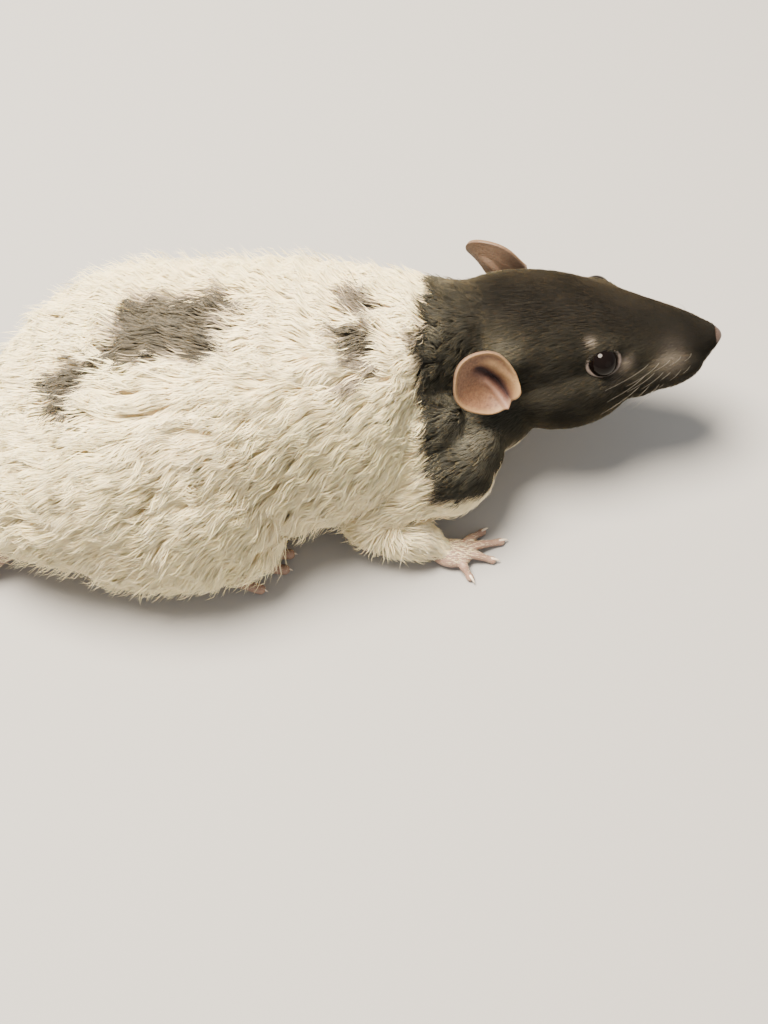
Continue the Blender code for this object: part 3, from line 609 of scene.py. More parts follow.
def tuft_rings(surface, roots, out, way, sizes, lock, rng, levels):
    """The vertices of all tufts, the root, three on each ring and the tip, and soft normals.

    The normals follow the rounding of the lock more than that of each blade, as fine fur does.
    """
    length, width, depth, face, _ = sizes
    count = len(roots)
    calm = 1 - 0.85 * face
    bend = (lock["bend"] + 0.3 * drift(roots, 11.0, 31)) * calm + rng.normal(0, 0.08, count)
    side = np.cross(out, way)
    way = unit(way * np.cos(bend)[:, None] + side * np.sin(bend)[:, None])
    side = np.cross(out, way)
    stand = rng.uniform(0.85, 1.2, count) + lock["stand"] * calm
    wild = (rng.random(count) < 0.06) * (0.7 - 0.4 * face)
    curl = lock["curl"] * calm
    flow = -0.97 * roots[:, 0] - 0.3 * roots[:, 2] + 2.2 * drift(roots, 20.0, 21)
    phase = 1.3 * drift(roots, 12.0, 22)
    across = -(lock["inward"] * side).sum(1) / 2.6
    rough = rng.normal(0, 0.12, (count, 3)) * (1 - 0.5 * face)[:, None]
    rings = []
    soft = []
    for t in (0.0, *levels, 1.0):
        run = length * t
        sway = curl * np.sin(2 * math.pi * (run / 7.0) + lock["phase"]) * t
        centre = roots + way * run[:, None] + side * sway[:, None]
        centre += lock["inward"] * (0.5 * t * calm)[:, None]
        hits = [surface.find_nearest(at) for at in centre.tolist()]
        up = np.array([hit[1] for hit in hits])
        rise = depth * (0.75 * stand) * (1 - (1 - t) ** 2) - 0.3 * (1 - t)
        rise += wild * depth * 1.1 * t**1.5
        wave = 2 * math.pi * (flow + run) / RIDGE + phase
        high = calm * 0.17 * depth * (0.4 + t)
        rise += high * np.sin(wave)
        slope = high * 2 * math.pi / RIDGE * np.cos(wave)
        centre = np.array([hit[0] for hit in hits]) + up * rise[:, None]
        round_lock = side * (0.5 * across * calm)[:, None] - way * (1.1 * slope)[:, None]
        normal = up + round_lock + rough + way * 0.12
        if t in (0.0, 1.0):
            rings.append(centre[:, None])
            soft.append(normal[:, None])
            continue
        half = width * (0.75 + 0.9 * t - 1.3 * t * t) / 2
        left = centre + side * half[:, None]
        right = centre - side * half[:, None]
        top = centre + up * (0.55 * half + 0.05)[:, None]
        rings.append(np.stack([left, top, right], 1))
        soft.append(np.stack([normal + 0.16 * side, normal, normal - 0.16 * side], 1))
    soft = np.concatenate(soft, 1)
    soft /= np.linalg.norm(soft, axis=2, keepdims=True)
    tufts = np.concatenate(rings, 1)
    tufts[:, :, 2] = np.maximum(tufts[:, :, 2], 0.05)
    return tufts, soft


def tuft_faces(levels):
    """The triangles of one tuft, a spindle from its root to its tip, by its vertices' numbers."""
    faces = [(1 + (k + 1) % 3, 1 + k, 0) for k in range(3)]
    for ring in range(len(levels) - 1):
        for k in range(3):
            a, b = 1 + 3 * ring + k, 1 + 3 * ring + (k + 1) % 3
            faces += [(a, b + 3, a + 3), (a, b, b + 3)]
    last, tip = 3 * len(levels) - 2, 3 * len(levels) + 1
    faces += [(last + k, last + (k + 1) % 3, tip) for k in range(3)]
    return np.array(faces)


def nearest_locks(roots, count, rng):
    """The lock that each root belongs to, and the lock's own root."""
    chosen = rng.choice(len(roots), count, replace=False)
    tree = KDTree(count)
    for index, root in enumerate(roots[chosen]):
        tree.insert(root, index)
    tree.balance()
    nearest = np.array([tree.find(root)[1] for root in roots])
    return nearest, roots[chosen][nearest]


def unwrapped(along, outward, upward):
    """Where each root lies on an unwrap of its part round the part's length."""
    around = np.arctan2(outward, upward)
    low, high = along.min(), along.max()
    return np.stack([0.5 + 0.98 * around / (2 * math.pi), (along - low) / (high - low)], 1)


def round_head(roots):
    local = in_head(roots)
    return unwrapped(local[:, 0], local[:, 1], local[:, 2] + 4.0)


def round_trunk(roots):
    return unwrapped(roots[:, 0], roots[:, 1] - trunk_middle(roots), roots[:, 2] - 22.0)


def coat_piece(name, tufts, soft, spots, values, levels):
    """One mesh of many tufts, with its attributes and its map for baking."""
    count, per_tuft = tufts.shape[:2]
    faces = tuft_faces(levels)
    mesh = bpy.data.meshes.new(name)
    mesh.vertices.add(count * per_tuft)
    mesh.vertices.foreach_set("co", (tufts * MM).ravel())
    corners = (faces[None] + np.arange(count)[:, None, None] * per_tuft).reshape(-1, 3)
    mesh.loops.add(corners.size)
    mesh.loops.foreach_set("vertex_index", corners.ravel())
    mesh.polygons.add(len(corners))
    mesh.polygons.foreach_set("loop_start", np.arange(len(corners)) * 3)
    mesh.polygons.foreach_set("loop_total", np.full(len(corners), 3))
    mesh.update()
    piece = bpy.data.objects.new(name, mesh)
    bpy.context.scene.collection.objects.link(piece)
    for key, value in values.items():
        add_attribute(piece, key, np.repeat(value, per_tuft))
    steps = [(0, 0.0), *((k, t) for t in levels for k in (-1, 0, 1)), (0, 1.0)]
    add_attribute(piece, "along", np.tile([0.15 + 0.85 * t for _, t in steps], count))
    patch = np.array([(0.0015 * k, 0.003 * (t - 0.5)) for k, t in steps])
    spots = spots[:, None] * 0.99 + 0.005 + patch[None]
    layer = mesh.uv_layers.new(name="OFBake")
    layer.data.foreach_set("uv", spots.reshape(-1, 2)[corners.ravel()].ravel())
    mesh.shade_smooth()
    mesh.normals_split_custom_set_from_vertices(soft.reshape(-1, 3))
    return piece


rng = np.random.default_rng(COAT_SEED)
skin_surface = surface_of(skin)
roots, out = scattered(skin, coat_sizes, rng)
nearest, lock_roots = nearest_locks(roots, len(roots) // LOCK_SHARE, rng)
lock_count = nearest.max() + 1
inward = lock_roots - roots
inward *= np.minimum(1, 2.4 / np.maximum(np.linalg.norm(inward, axis=1), 0.01))[:, None]
lock = {
    "bend": rng.normal(0, 0.17, lock_count)[nearest],
    "stand": rng.uniform(-0.15, 0.2, lock_count)[nearest],
    "curl": rng.uniform(0.2, 0.7, lock_count)[nearest],
    "phase": rng.uniform(0, 2 * math.pi, lock_count)[nearest],
    "inward": inward,
}
length, width, depth, face, low = coat_sizes(roots)
length = length * rng.uniform(0.75, 1.15, len(roots))
sizes = np.stack((length, width, depth, face, low))
way = lie_of_coat(roots, out, face, low)
shown = roots + way * (SHOWN_SHARE * length)[:, None]
hood = hood_share(shown, out)
hood = np.clip(hood + rng.normal(0, 0.3, len(hood)) * hood * (1 - hood), 0, 1)
shade = shade_of_grey(shown, face, hood)
tone = np.clip(0.5 + 0.22 * rng.normal(size=len(roots)), 0, 1)

coat_fur = fur_material("rex fur", False)
for word, levels, chosen, round_part in (
    ("body", BODY_RINGS, np.flatnonzero(face <= 0.5), round_trunk),
    ("face", FACE_RINGS, np.flatnonzero(face > 0.5), round_head),
):
    chosen = chosen[np.argsort(roots[chosen, 0])]
    per_tuft = len(tuft_faces(levels))
    parts = np.array_split(chosen, math.ceil(len(chosen) * per_tuft / PIECE_TRIANGLES))
    for number, part in enumerate(parts):
        locks = {name: value[part] for name, value in lock.items()}
        places = (roots[part], out[part], way[part])
        tufts, soft = tuft_rings(skin_surface, *places, sizes[:, part], locks, rng, levels)
        values = {"hood": hood[part], "tone": tone[part], "shade": shade[part]}
        name = f"coat_{word}_{number + 1}"
        piece = coat_piece(name, tufts, soft, round_part(roots[part]), values, levels)
        slot = "hood_coat" if word == "face" else "white_coat"
        finished(piece, coat_fur, slot, smooth=False)

# Under the coat's edge the skin has the colour of the hair that lies over it, near that of the
# hair's roots, so it is darker than the coat as painted shade under it.
points, normals = vertex_table(skin)
length, _, _, face, low = coat_sizes(points)
under = points + lie_of_coat(points, normals, face, low) * (UNDER_SHARE * length)[:, None]
hood = hood_share(under, normals)
add_attribute(skin, "hood", hood)
add_attribute(skin, "shade", shade_of_grey(under, face, hood))
# In the mouth's line and the cleft under the nose the skin takes the roots' darkest colour: painted
# shade in the creases.
add_attribute(skin, "along", 0.35 - 0.35 * crease)
add_attribute(skin, "tone", 0.3 + 0.2 * drift(points, 5.0, 9))
flesh = ["head", "neck", "torso"]
for word in SIDES:
    flesh += ["thigh_" + word, "foreleg_" + word]
finished(skin, fur_material("skin with short fur", True), "white_coat", *flesh)


# The eyes: glossy balls, so dark a brown that they look black.
# Each sits deep in the head behind a thin dark rim of both lids, a little longer than high.
EYE_AT = (1.0, 10.7, -0.26)
EYE_R = 3.4
EYE_FACES = (0.25, 0.88, 0.40)
LIDS_AT = 0.85
LIDS_HALF = (3.65, 3.0)
LIDS_R = 0.45

# The cornea is smooth and wet, so it mirrors the lamp as one sharp small point.
eye_wet, tree, shader = new_material("wet cornea")
at = add_node(tree, "TexCoord", output="Object")
iris = add_node(tree, "TexNoise", ("Vector", at), ("Scale", 1000 / 5.0))
browns = ((0, iris), (6, colour("050303")), (7, colour("0E0908")))
tree.links.new(add_node(tree, "Mix", *browns, **COLOUR_MIX), shader.inputs["Base Color"])
shader.inputs["Roughness"].default_value = 0.04
shader.inputs["IOR"].default_value = 1.33
shader.inputs["Specular IOR Level"].default_value = 0.2

# The bare rim of the lids is smooth and a little oily, so its edge has a soft shine.
lid_skin, tree, shader = new_material("lid skin")
at = add_node(tree, "TexCoord", output="Object")
pigment = add_node(tree, "TexNoise", ("Vector", at), ("Scale", 1000 / 1.2))
greys = ((0, pigment), (6, colour("2E2724")), (7, colour("6B5F59")))
tree.links.new(add_node(tree, "Mix", *greys, **COLOUR_MIX), shader.inputs["Base Color"])
shader.inputs["Roughness"].default_value = 0.45

for word, side in SIDES.items():
    look = Vector((EYE_FACES[0], side * EYE_FACES[1], EYE_FACES[2])).normalized()
    at = Vector((EYE_AT[0], side * EYE_AT[1], EYE_AT[2]))
    bm = bmesh.new()
    bmesh.ops.create_uvsphere(bm, u_segments=48, v_segments=32, radius=EYE_R * MM)
    pole_out = Matrix.Rotation(math.pi / 2, 4, "Y")
    bmesh.ops.transform(
        bm, matrix=head_frame @ facing(at, look, (0, 0, 1)) @ pole_out, verts=bm.verts
    )
    finished(made_object("eyeball_" + word, bm), eye_wet, "dark_eye", "eye_" + word)
    bm = bmesh.new()
    tube = Matrix.Translation(place(0, LIDS_HALF[0], 0))
    bmesh.ops.create_circle(bm, radius=LIDS_R * MM, segments=14, matrix=tube)
    bmesh.ops.spin(
        bm,
        geom=bm.verts[:] + bm.edges[:],
        cent=(0, 0, 0),
        axis=(1, 0, 0),
        angle=2 * math.pi,
        steps=56,
        use_merge=True,
    )
    bmesh.ops.scale(bm, vec=(1, 1, LIDS_HALF[1] / LIDS_HALF[0]), verts=bm.verts)
    bmesh.ops.transform(
        bm, matrix=head_frame @ facing(at + look * LIDS_AT, look, (0, 0, 1)), verts=bm.verts
    )
    finished(made_object("lids_" + word, bm), lid_skin, "hood_coat")


# The ears: thin round cups of bare-looking skin with fine down, pale at the rim.
# The canal opens in a slit from the foot past the middle, between a fold and the front lobe,
# painted dark as painted shade.
EAR_AT = {"left": (-21.3, 17.4, 4.0), "right": (-23.8, -19.5, 3.3)}
EAR_AXIS = (-0.57, 0.03, 0.82)
EAR_FACES = (0.31, 0.89, 0.34)
EAR_HALF = (7.8, 6.7)
EAR_DRAWN_IN = {"left": 0.45, "right": 0.0}  # how far the rear edge is drawn in
EAR_CUP = 3.2
EAR_WALL = 0.5

# Thin skin with down lets some light through, so it glows warm and has no sharp shine. The down
# is too fine to show, so its grain is drawn as coarse as 0.6 mm.
ear_skin, tree, shader = new_material("ear skin")
at = add_node(tree, "TexCoord", output="Object")
down = add_node(tree, "TexNoise", ("Vector", at), ("Scale", 1000 / 0.6), ("Detail", 4.0))
fine = add_node(tree, "MapRange", ("Value", down), ("To Min", -0.6), ("To Max", 1.6))
tans = ((0, fine), (6, colour("452C20")), (7, colour("7C5941")))
base = add_node(tree, "Mix", *tans, **COLOUR_MIX)
cloud = add_node(tree, "TexNoise", ("Vector", at), ("Scale", 1000 / 3.5))
tanned = add_node(tree, "MapRange", ("Value", cloud), ("To Min", 0.0), ("To Max", 0.7))
base = add_node(tree, "Mix", (0, tanned), (6, base), (7, colour("6B4C33")), **COLOUR_MIX)
# The shade and canal marks are painted shade: darker round the slit and nearly black in it.
for mark, code in (("rim", "937650"), ("fold", "8C6C57"), ("shade", "47292A"), ("canal", "231216")):
    share = add_node(tree, "Attribute", output="Fac", attribute_name=mark)
    base = add_node(tree, "Mix", (0, share), (6, base), (7, colour(code)), **COLOUR_MIX)
down = add_node(tree, "TexNoise", ("Vector", at), ("Scale", 1000 / 0.6), ("Detail", 3.0))
downs = ((0, down), (6, colour("5A483B")), (7, colour("6D5848")))
downy = add_node(tree, "Mix", *downs, **COLOUR_MIX)
back = add_node(tree, "Attribute", output="Fac", attribute_name="back")
base = add_node(tree, "Mix", (0, back), (6, base), (7, downy), **COLOUR_MIX)
tree.links.new(base, shader.inputs["Base Color"])
shader.inputs["Roughness"].default_value = 0.65
shader.inputs["Subsurface Weight"].default_value = 0.15
shader.inputs["Subsurface Radius"].default_value = (0.002, 0.0008, 0.0005)
grain = add_node(tree, "TexNoise", ("Vector", at), ("Scale", 1000 / 0.45), ("Detail", 3.0))
height = (("Height", grain), ("Strength", 0.6), ("Distance", 0.0002))
tree.links.new(add_node(tree, "Bump", *height), shader.inputs["Normal"])


def bell(value, middle, width):
    return math.exp(-(((value - middle) / width) ** 2))


def make_ear(word, side):
    """One ear: a sheet with its folds, then a wall whose back stays smooth."""
    bm = bmesh.new()
    bmesh.ops.create_grid(bm, x_segments=72, y_segments=72, size=1)
    marks = {name: [] for name in ("rim", "fold", "shade", "canal", "deeper")}
    for vert in bm.verts:
        u, v = vert.co.x, vert.co.y
        along = u * math.sqrt(1 - v * v / 2)
        across = v * math.sqrt(1 - u * u / 2)
        out = math.hypot(along, across)
        turn = math.atan2(across, along)
        ripple = 1 + 0.035 * math.sin(3 * turn + 0.6) + 0.02 * math.sin(5 * turn + 2.0)
        middle = -0.02 + 0.30 * (1 - (along + 0.1) ** 2) - 0.12 * along
        reach = float(step_up(along, 0.60, 0.30) * step_up(along, -1.1, -0.85))
        # The slit is both sunk in and painted dark as painted shade; the broader shade mark is
        # painted shade round it.
        slit = reach * bell(across, middle, 0.15 - 0.07 * max(0.0, -along))
        shade = reach * bell(across, middle - 0.08, 0.26)
        fold = float(step_up(along, 0.15, -0.3)) * bell(across, middle - 0.27, 0.12)
        lobe = float(step_up(along, 0.75, 0.2)) * bell(across, middle + 0.34, 0.20)
        rim = float(step_up(out, 0.86, 1.0))
        folds = 1.05 * slit - 0.9 * fold - 1.1 * lobe - 0.3 * rim * (1 - slit)
        deep = EAR_CUP * (1 - out**2) * (1 - 0.55 * along) + folds
        width = EAR_HALF[1] * (1 + 0.12 * along) * ripple
        drawn_in = EAR_DRAWN_IN[word] * bell(along, 0.15, 0.6)
        width *= 1 - drawn_in * float(step_up(-across, 0.0, 0.5))
        marks["rim"].append(min(1.0, 0.6 * rim + 0.6 * lobe))
        marks["fold"].append(fold)
        marks["shade"].append(0.75 * shade)
        marks["canal"].append(slit)
        marks["deeper"].append(folds)
        vert.co = place(-deep, -side * across * width, along * EAR_HALF[0] * ripple)
    look = Vector((EAR_FACES[0], side * EAR_FACES[1], EAR_FACES[2]))
    axis = (EAR_AXIS[0], side * EAR_AXIS[1], EAR_AXIS[2])
    matrix = head_frame @ facing(EAR_AT[word], look, axis)
    bmesh.ops.transform(bm, matrix=matrix, verts=bm.verts)
    ear = made_object("ear_shell_" + word, bm)
    for name, values in marks.items():
        add_attribute(ear, name, np.array(values))
    wall = ear.modifiers.new("Wall", "SOLIDIFY")
    wall.thickness = EAR_WALL * MM
    wall.offset = 0
    applied(ear)
    places, ways = vertex_table(ear)
    opens = np.array((matrix.to_3x3() @ Vector((1, 0, 0))).normalized())
    behind = step_up(-(ways @ opens), -0.1, 0.3)
    layers = ear.data.attributes
    values = np.empty(len(places), np.float32)
    layers["deeper"].data.foreach_get("value", values)
    undone = np.minimum(values, 0) + 0.5 * np.maximum(values, 0)
    places += opens * (behind * undone)[:, None]
    ear.data.vertices.foreach_set("co", (places * MM).ravel())
    for name in ("rim", "fold", "shade", "canal"):
        layers[name].data.foreach_get("value", values)
        layers[name].data.foreach_set("value", values * (1 - behind).astype(np.float32))
    add_attribute(ear, "back", behind)
    return ear


for word, side in SIDES.items():
    finished(make_ear(word, side), ear_skin, "ear_skin", "ear_" + word)


# The nose: a small moist pad of bare pinkish grey skin with two comma-shaped nostrils.
NOSE_AT = (25.5, 0.0, -5.0)
NOSE_HALF = (2.4, 2.5, 2.1)

# Moist pebbled skin has a soft shine that its grain breaks up.
nose_skin, tree, shader = new_material("nose skin")
at = add_node(tree, "TexCoord", output="Object")
pebbles = add_node(tree, "TexNoise", ("Vector", at), ("Scale", 1000 / 0.4), ("Detail", 3.0))
pinks = ((0, pebbles), (6, colour("3B2E29")), (7, colour("52423B")))
base = add_node(tree, "Mix", *pinks, **COLOUR_MIX)
# The nostrils and the cleft under them are painted nearly black: painted shade in their hollows.
hole = add_node(tree, "Attribute", output="Fac", attribute_name="hole")
base = add_node(tree, "Mix", (0, hole), (6, base), (7, colour("1D1212")), **COLOUR_MIX)
tree.links.new(base, shader.inputs["Base Color"])
shader.inputs["Roughness"].default_value = 0.42
grain = add_node(tree, "TexNoise", ("Vector", at), ("Scale", 1000 / 0.35))
height = (("Height", grain), ("Strength", 0.5), ("Distance", 0.0001))
tree.links.new(add_node(tree, "Bump", *height), shader.inputs["Normal"])

bm = bmesh.new()
add_ball(bm, NOSE_AT, NOSE_HALF, fineness=6)
holes = []
for vert in bm.verts:
    x, y, z = vert.co / MM
    ahead = max(0.0, x - NOSE_AT[0]) / NOSE_HALF[0]
    z_at = z - NOSE_AT[2] + 0.35 * abs(y)
    hole = math.exp(-(((abs(y) - 1.3) / 0.5) ** 2) - ((z_at + 0.1) / 0.4) ** 2) * ahead**0.5
    cleft = math.exp(-((y / 0.22) ** 2)) * ahead * float(step_up(-z, 5.6, 6.4))
    vert.co.x -= (1.3 * hole + 0.5 * cleft) * MM
    # The nostrils' and the cleft's mark, for their painted shade.
    holes.append(min(1.0, hole + 0.5 * cleft))
bmesh.ops.transform(bm, matrix=head_frame, verts=bm.verts)
nose = made_object("nose_pad", bm)
add_attribute(nose, "hole", np.array(holes))
finished(nose, nose_skin, "ear_skin")


# The whiskers: a rex rat's are short, fine and curled, in rows on the pads and a few over each
# eye. Each is one tapered hair that bends back and down, smooth enough to catch the light.
whisker_hair, tree, shader = new_material("whisker hair")
at = add_node(tree, "TexCoord", output="Object")
wide = add_node(tree, "TexNoise", ("Vector", at), ("Scale", 1000 / 6.0))
greys = ((0, wide), (6, colour("7C756A")), (7, colour("47433B")))
tree.links.new(add_node(tree, "Mix", *greys, **COLOUR_MIX), shader.inputs["Base Color"])
shader.inputs["Roughness"].default_value = 0.4
WHISKER_ROWS = ((-4.2, 5), (-5.8, 6), (-7.4, 6), (-8.8, 4))
WHISKER_R = (0.05, 0.015)


def add_whisker(bm, root, way, length, droop):
    rows = []
    for t in np.linspace(0, 1, 9):
        at = np.array(root) + np.array(way) * length * (t - 0.25 * t**2)
        at = at + np.array((-0.5, 0.0, -droop)) * length * t**2
        radius = WHISKER_R[0] + (WHISKER_R[1] - WHISKER_R[0]) * t
        rows.append((*at, radius, radius, radius))
    add_loft(bm, rows, 5)


rng = np.random.default_rng(5)
for word, side in SIDES.items():
    bm = bmesh.new()
    for height, count in WHISKER_ROWS:
        for index in range(count):
            back = index / (count - 1)
            x = 20.5 - 8.5 * back
            half = float(np.interp(x, (8, 15, 21), (9.4, 8.0, 6.0))) - 0.5
            y = half * (1 - 0.02 * (height + 6) ** 2)
            way = Vector((0.25 - 0.75 * back, 1.0, 0.35 * (height + 7) / 2)).normalized()
            way.z += rng.uniform(-0.15, 0.15)
            length = (5 + 7 * back) * rng.uniform(0.75, 1.15)
            add_whisker(bm, (x, side * y, height), (way.x, side * way.y, way.z), length, 0.22)
    for x, length in ((-1.4, 3.2), (-2.6, 2.6)):
        add_whisker(bm, (x, side * 8.4, 4.4), (-0.3, side * 0.5, 0.8), length, 0.2)
    bmesh.ops.transform(bm, matrix=head_frame, verts=bm.verts)
    finished(made_object("whiskers_" + word, bm), whisker_hair, "white_coat")


# The paws: bare pink skin with fine folds, small pads and sparse white hairs.
# A forepaw has four fingers spread on the floor, a hind foot a long sole and five toes.
PALM_AT = (15.5, 26.5, 2.2)
PALM_HALF = (4.8, 3.5, 2.2)
WRIST = ((6.0, 25.4, 5.2, 2.9), (9.5, 25.9, 4.0, 2.6), (12.5, 26.3, 3.0, 2.3))
FINGERS = ((41.0, 9.4), (18.0, 11.8), (-7.0, 9.2), (-55.0, 6.8))
FINGER_R = 0.92
HEEL_AT = (-60.5, 24.2)
FOOT = (
    (0.0, 0.0, 2.9, 3.2, 3.4, 3.2),
    (8.0, 0.0, 2.9, 3.1, 2.8, 3.2),
    (18.0, 0.0, 2.7, 3.9, 2.1, 3.0),
    (26.0, -0.3, 2.3, 4.5, 1.5, 2.6),
)
TOES = (
    ((19.0, -3.4), (29.0, -7.6)),
    ((25.5, -3.0), (38.0, -4.6)),
    ((26.5, -0.6), (39.4, -0.8)),
    ((26.0, 1.8), (38.0, 3.0)),
    ((21.0, 3.4), (32.2, 7.4)),
)
TOE_R = 1.25
CLAW_LENGTH = 2.4

# Bare skin over blood looks pink and soft, and its fine folds break up the shine. Its pinks are
# painted darker than the skin's own, as painted shade on paws that get little of the lamp.
paw_skin, tree, shader = new_material("paw skin")
at = add_node(tree, "TexCoord", output="Object")
flush = add_node(tree, "TexNoise", ("Vector", at), ("Scale", 1000 / 4.0))
pinks = ((0, flush), (6, colour("92705F")), (7, colour("805F50")))
base = add_node(tree, "Mix", *pinks, **COLOUR_MIX)
folds = add_node(tree, "TexNoise", ("Vector", at), ("Scale", 1000 / 0.6), ("Detail", 3.0))
base = add_node(tree, "Mix", (0, folds), (6, base), (7, colour("9C8372")), **COLOUR_MIX)
tree.links.new(base, shader.inputs["Base Color"])
shader.inputs["Roughness"].default_value = 0.55
shader.inputs["Subsurface Weight"].default_value = 0.2
shader.inputs["Subsurface Radius"].default_value = (0.003, 0.001, 0.0006)
grain = add_node(tree, "TexNoise", ("Vector", at), ("Scale", 1000 / 0.5), ("Detail", 3.0))
height = (("Height", grain), ("Strength", 0.4), ("Distance", 0.0002))
tree.links.new(add_node(tree, "Bump", *height), shader.inputs["Normal"])

# Horn is hard and smooth, so the pale claws have a clear small shine.
claw_horn, tree, shader = new_material("claw horn")
at = add_node(tree, "TexCoord", output="Object")
cloud = add_node(tree, "TexNoise", ("Vector", at), ("Scale", 1000 / 1.0))
horns = ((0, cloud), (6, colour("D8C3A8")), (7, colour("EADCC8")))
tree.links.new(add_node(tree, "Mix", *horns, **COLOUR_MIX), shader.inputs["Base Color"])
shader.inputs["Roughness"].default_value = 0.3


def grow_hair(name, piece, sizes_of, share_of, way_of, round_part):
    """Sparse short white hairs on bare skin, each lying in the way given for its root."""
    rng = np.random.default_rng(COAT_SEED)
    roots, out = scattered(piece, sizes_of, rng)
    grown = rng.random(len(roots)) < share_of(roots, out)
    roots, out = roots[grown], out[grown]
    way = way_of(roots)
    way = unit(way - out * (way * out).sum(1, keepdims=True) + rng.normal(0, 0.12, way.shape))
    none = np.zeros(len(roots))
    lock = {"bend": none, "stand": none, "curl": none, "phase": none, "inward": out * 0}
    sizes = np.stack(sizes_of(roots))
    places = (roots, out, way)
    hairs, soft = tuft_rings(surface_of(piece), *places, sizes, lock, rng, FACE_RINGS)
    values = {"hood": none, "tone": rng.random(len(roots)), "shade": none}
    hair = coat_piece(name, hairs, soft, round_part(roots), values, FACE_RINGS)
    finished(hair, coat_fur, "white_coat", smooth=False)


def paw_hair_sizes(points):
    """The paw's hairs, by how high they stand: longest on its back, hardly any on the digits."""
    high = step_up(points[:, 2], 1.8, 5.0)
    none = np.zeros(len(points))
    return 0.9 + 1.5 * high, 0.11 + 0.04 * high, 0.12 + 0.2 * high, none + 1, none


def grow_paw_hair(name, paw, heel, ahead):
    """Hairs on the upper side of a paw, lying ahead to its digits."""
    def share_of(roots, out):
        return (out[:, 2] > 0.15) * (0.2 + 0.35 * step_up(roots[:, 2], 2, 4))

    def way_of(roots):
        return np.tile((*ahead, -0.1), (len(roots), 1))

    def round_paw(roots):
        x, y, z = (roots - np.array((*heel, 1.0))).T
        return unwrapped(x * ahead[0] + y * ahead[1], y * ahead[0] - x * ahead[1], z)

    grow_hair(name, paw, paw_hair_sizes, share_of, way_of, round_paw)


def add_claw(bm, at, ahead):
    """A thin curved claw that tapers to a point, from its root in the tip of a digit."""
    ahead = Vector((ahead[0], ahead[1], 0)).normalized()
    rows = []
    for t in np.linspace(0, 1, 7):
        centre = Vector(at) + ahead * (CLAW_LENGTH * t - 0.6)
        centre.z = max(at[2] + 0.35 * math.sin(t * 2.4) - 0.9 * t**2, 0.25)
        radius = 0.48 * (1 - t) ** 0.7 + 0.05
        rows.append((*centre, radius * 0.8, radius, min(radius, centre.z)))
    add_loft(bm, rows, 10)


def add_digit(bm, root, tip, radius, lift):
    """A digit with a knuckle, a waist and a round tip pad."""
    def at(t):
        return [a + (b - a) * t for a, b in zip(root, tip)]
    rows = (
        (*at(0.0), 2.2, radius + 0.35),
        (*at(0.3), 2.3 + lift, radius + 0.05),
        (*at(0.5), 2.1 + lift, radius + 0.12),
        (*at(0.75), 1.5 + lift * 0.4, radius - 0.12),
        (*at(1.0), radius - 0.05, radius),
    )
    add_limb(bm, rows, sides=16, steps=3)


for word, side in SIDES.items():
    bm = bmesh.new()
    claws = bmesh.new()
    palm = leg_place(CHEST_MIDDLE, side, PALM_AT)
    add_ball(bm, palm, PALM_HALF)
    add_limb(bm, [leg_place(CHEST_MIDDLE, side, row) for row in WRIST])
    for turn, reach in FINGERS:
        angle = math.radians(-side * turn)
        ahead = (math.cos(angle), math.sin(angle))
        root = [palm[k] + ahead[k] * 2.0 for k in (0, 1)]
        tip = [palm[k] + ahead[k] * reach for k in (0, 1)]
        add_digit(bm, root, tip, FINGER_R, 0.2)
        add_claw(claws, (*tip, 1.35), ahead)
    paw = on_floor(fused(made_object("paw_" + word, bm), 0.28, 4))
    grow_paw_hair("paw_hair_" + word, paw, palm[:2], (1.0, 0.0))
    finished(paw, paw_skin, "paw_skin", "forepaw_" + word)
    finished(made_object("paw_claws_" + word, claws), claw_horn, "paw_skin")

    bm = bmesh.new()
    claws = bmesh.new()
    add_loft(bm, smooth_rows(FOOT, 5), 24)
    add_ball(bm, FOOT[0][:3], (3.2, 3.2, 3.2))
    for x, y in ((23.5, -2.8), (25.0, 0.6), (23.0, 3.0)):
        add_ball(bm, (x, y, 1.5), (2.2, 1.5, 1.5))
    for root, tip in TOES:
        add_digit(bm, root, tip, TOE_R, 0.35)
        add_claw(claws, (*tip, 1.45), (tip[0] - root[0], tip[1] - root[1]))
    heel = leg_place(HIPS_MIDDLE, side, (*HEEL_AT, 0.0))
    stand = Matrix.Translation(place(*heel)) @ turned(yaw=-side * 6)
    stand = stand @ Matrix.Diagonal((1, side, 1, 1))
    bmesh.ops.transform(bm, matrix=stand, verts=bm.verts)
    bmesh.ops.transform(claws, matrix=stand, verts=claws.verts)
    foot = on_floor(fused(made_object("foot_" + word, bm), 0.3, 4))
    grow_paw_hair("foot_hair_" + word, foot, heel[:2], (0.995, -side * 0.1))
    finished(foot, paw_skin, "paw_skin", "hindfoot_" + word)
    finished(made_object("foot_claws_" + word, claws), claw_horn, "paw_skin")


# The tail: a tapered muscle and bone core in skin that is ringed with fine scales.
# It is thick at the root, where the coat's last tufts cover it, and lies curled on the floor.
TAIL = (
    (-81.0, -10.2, 11.4),
    (-87.0, -12.4, 8.0),
    (-97.0, -15.5, 5.2),
    (-109.5, -14.5, 4.6),
    (-119.0, -7.0, 4.3),
    (-122.5, 4.0, 4.0),
    (-117.5, 15.0, 3.7),
    (-106.0, 23.5, 3.3),
    (-91.0, 31.5, 2.9),
    (-75.0, 41.5, 2.5),
    (-57.0, 48.5, 2.1),
    (-38.0, 51.5, 1.6),
    (-18.0, 50.5, 1.1),
)
TAIL_R = (5.5, 1.1)
SCALE_RING = (1.0, 0.55)  # a ring of scales at the root and at the tip
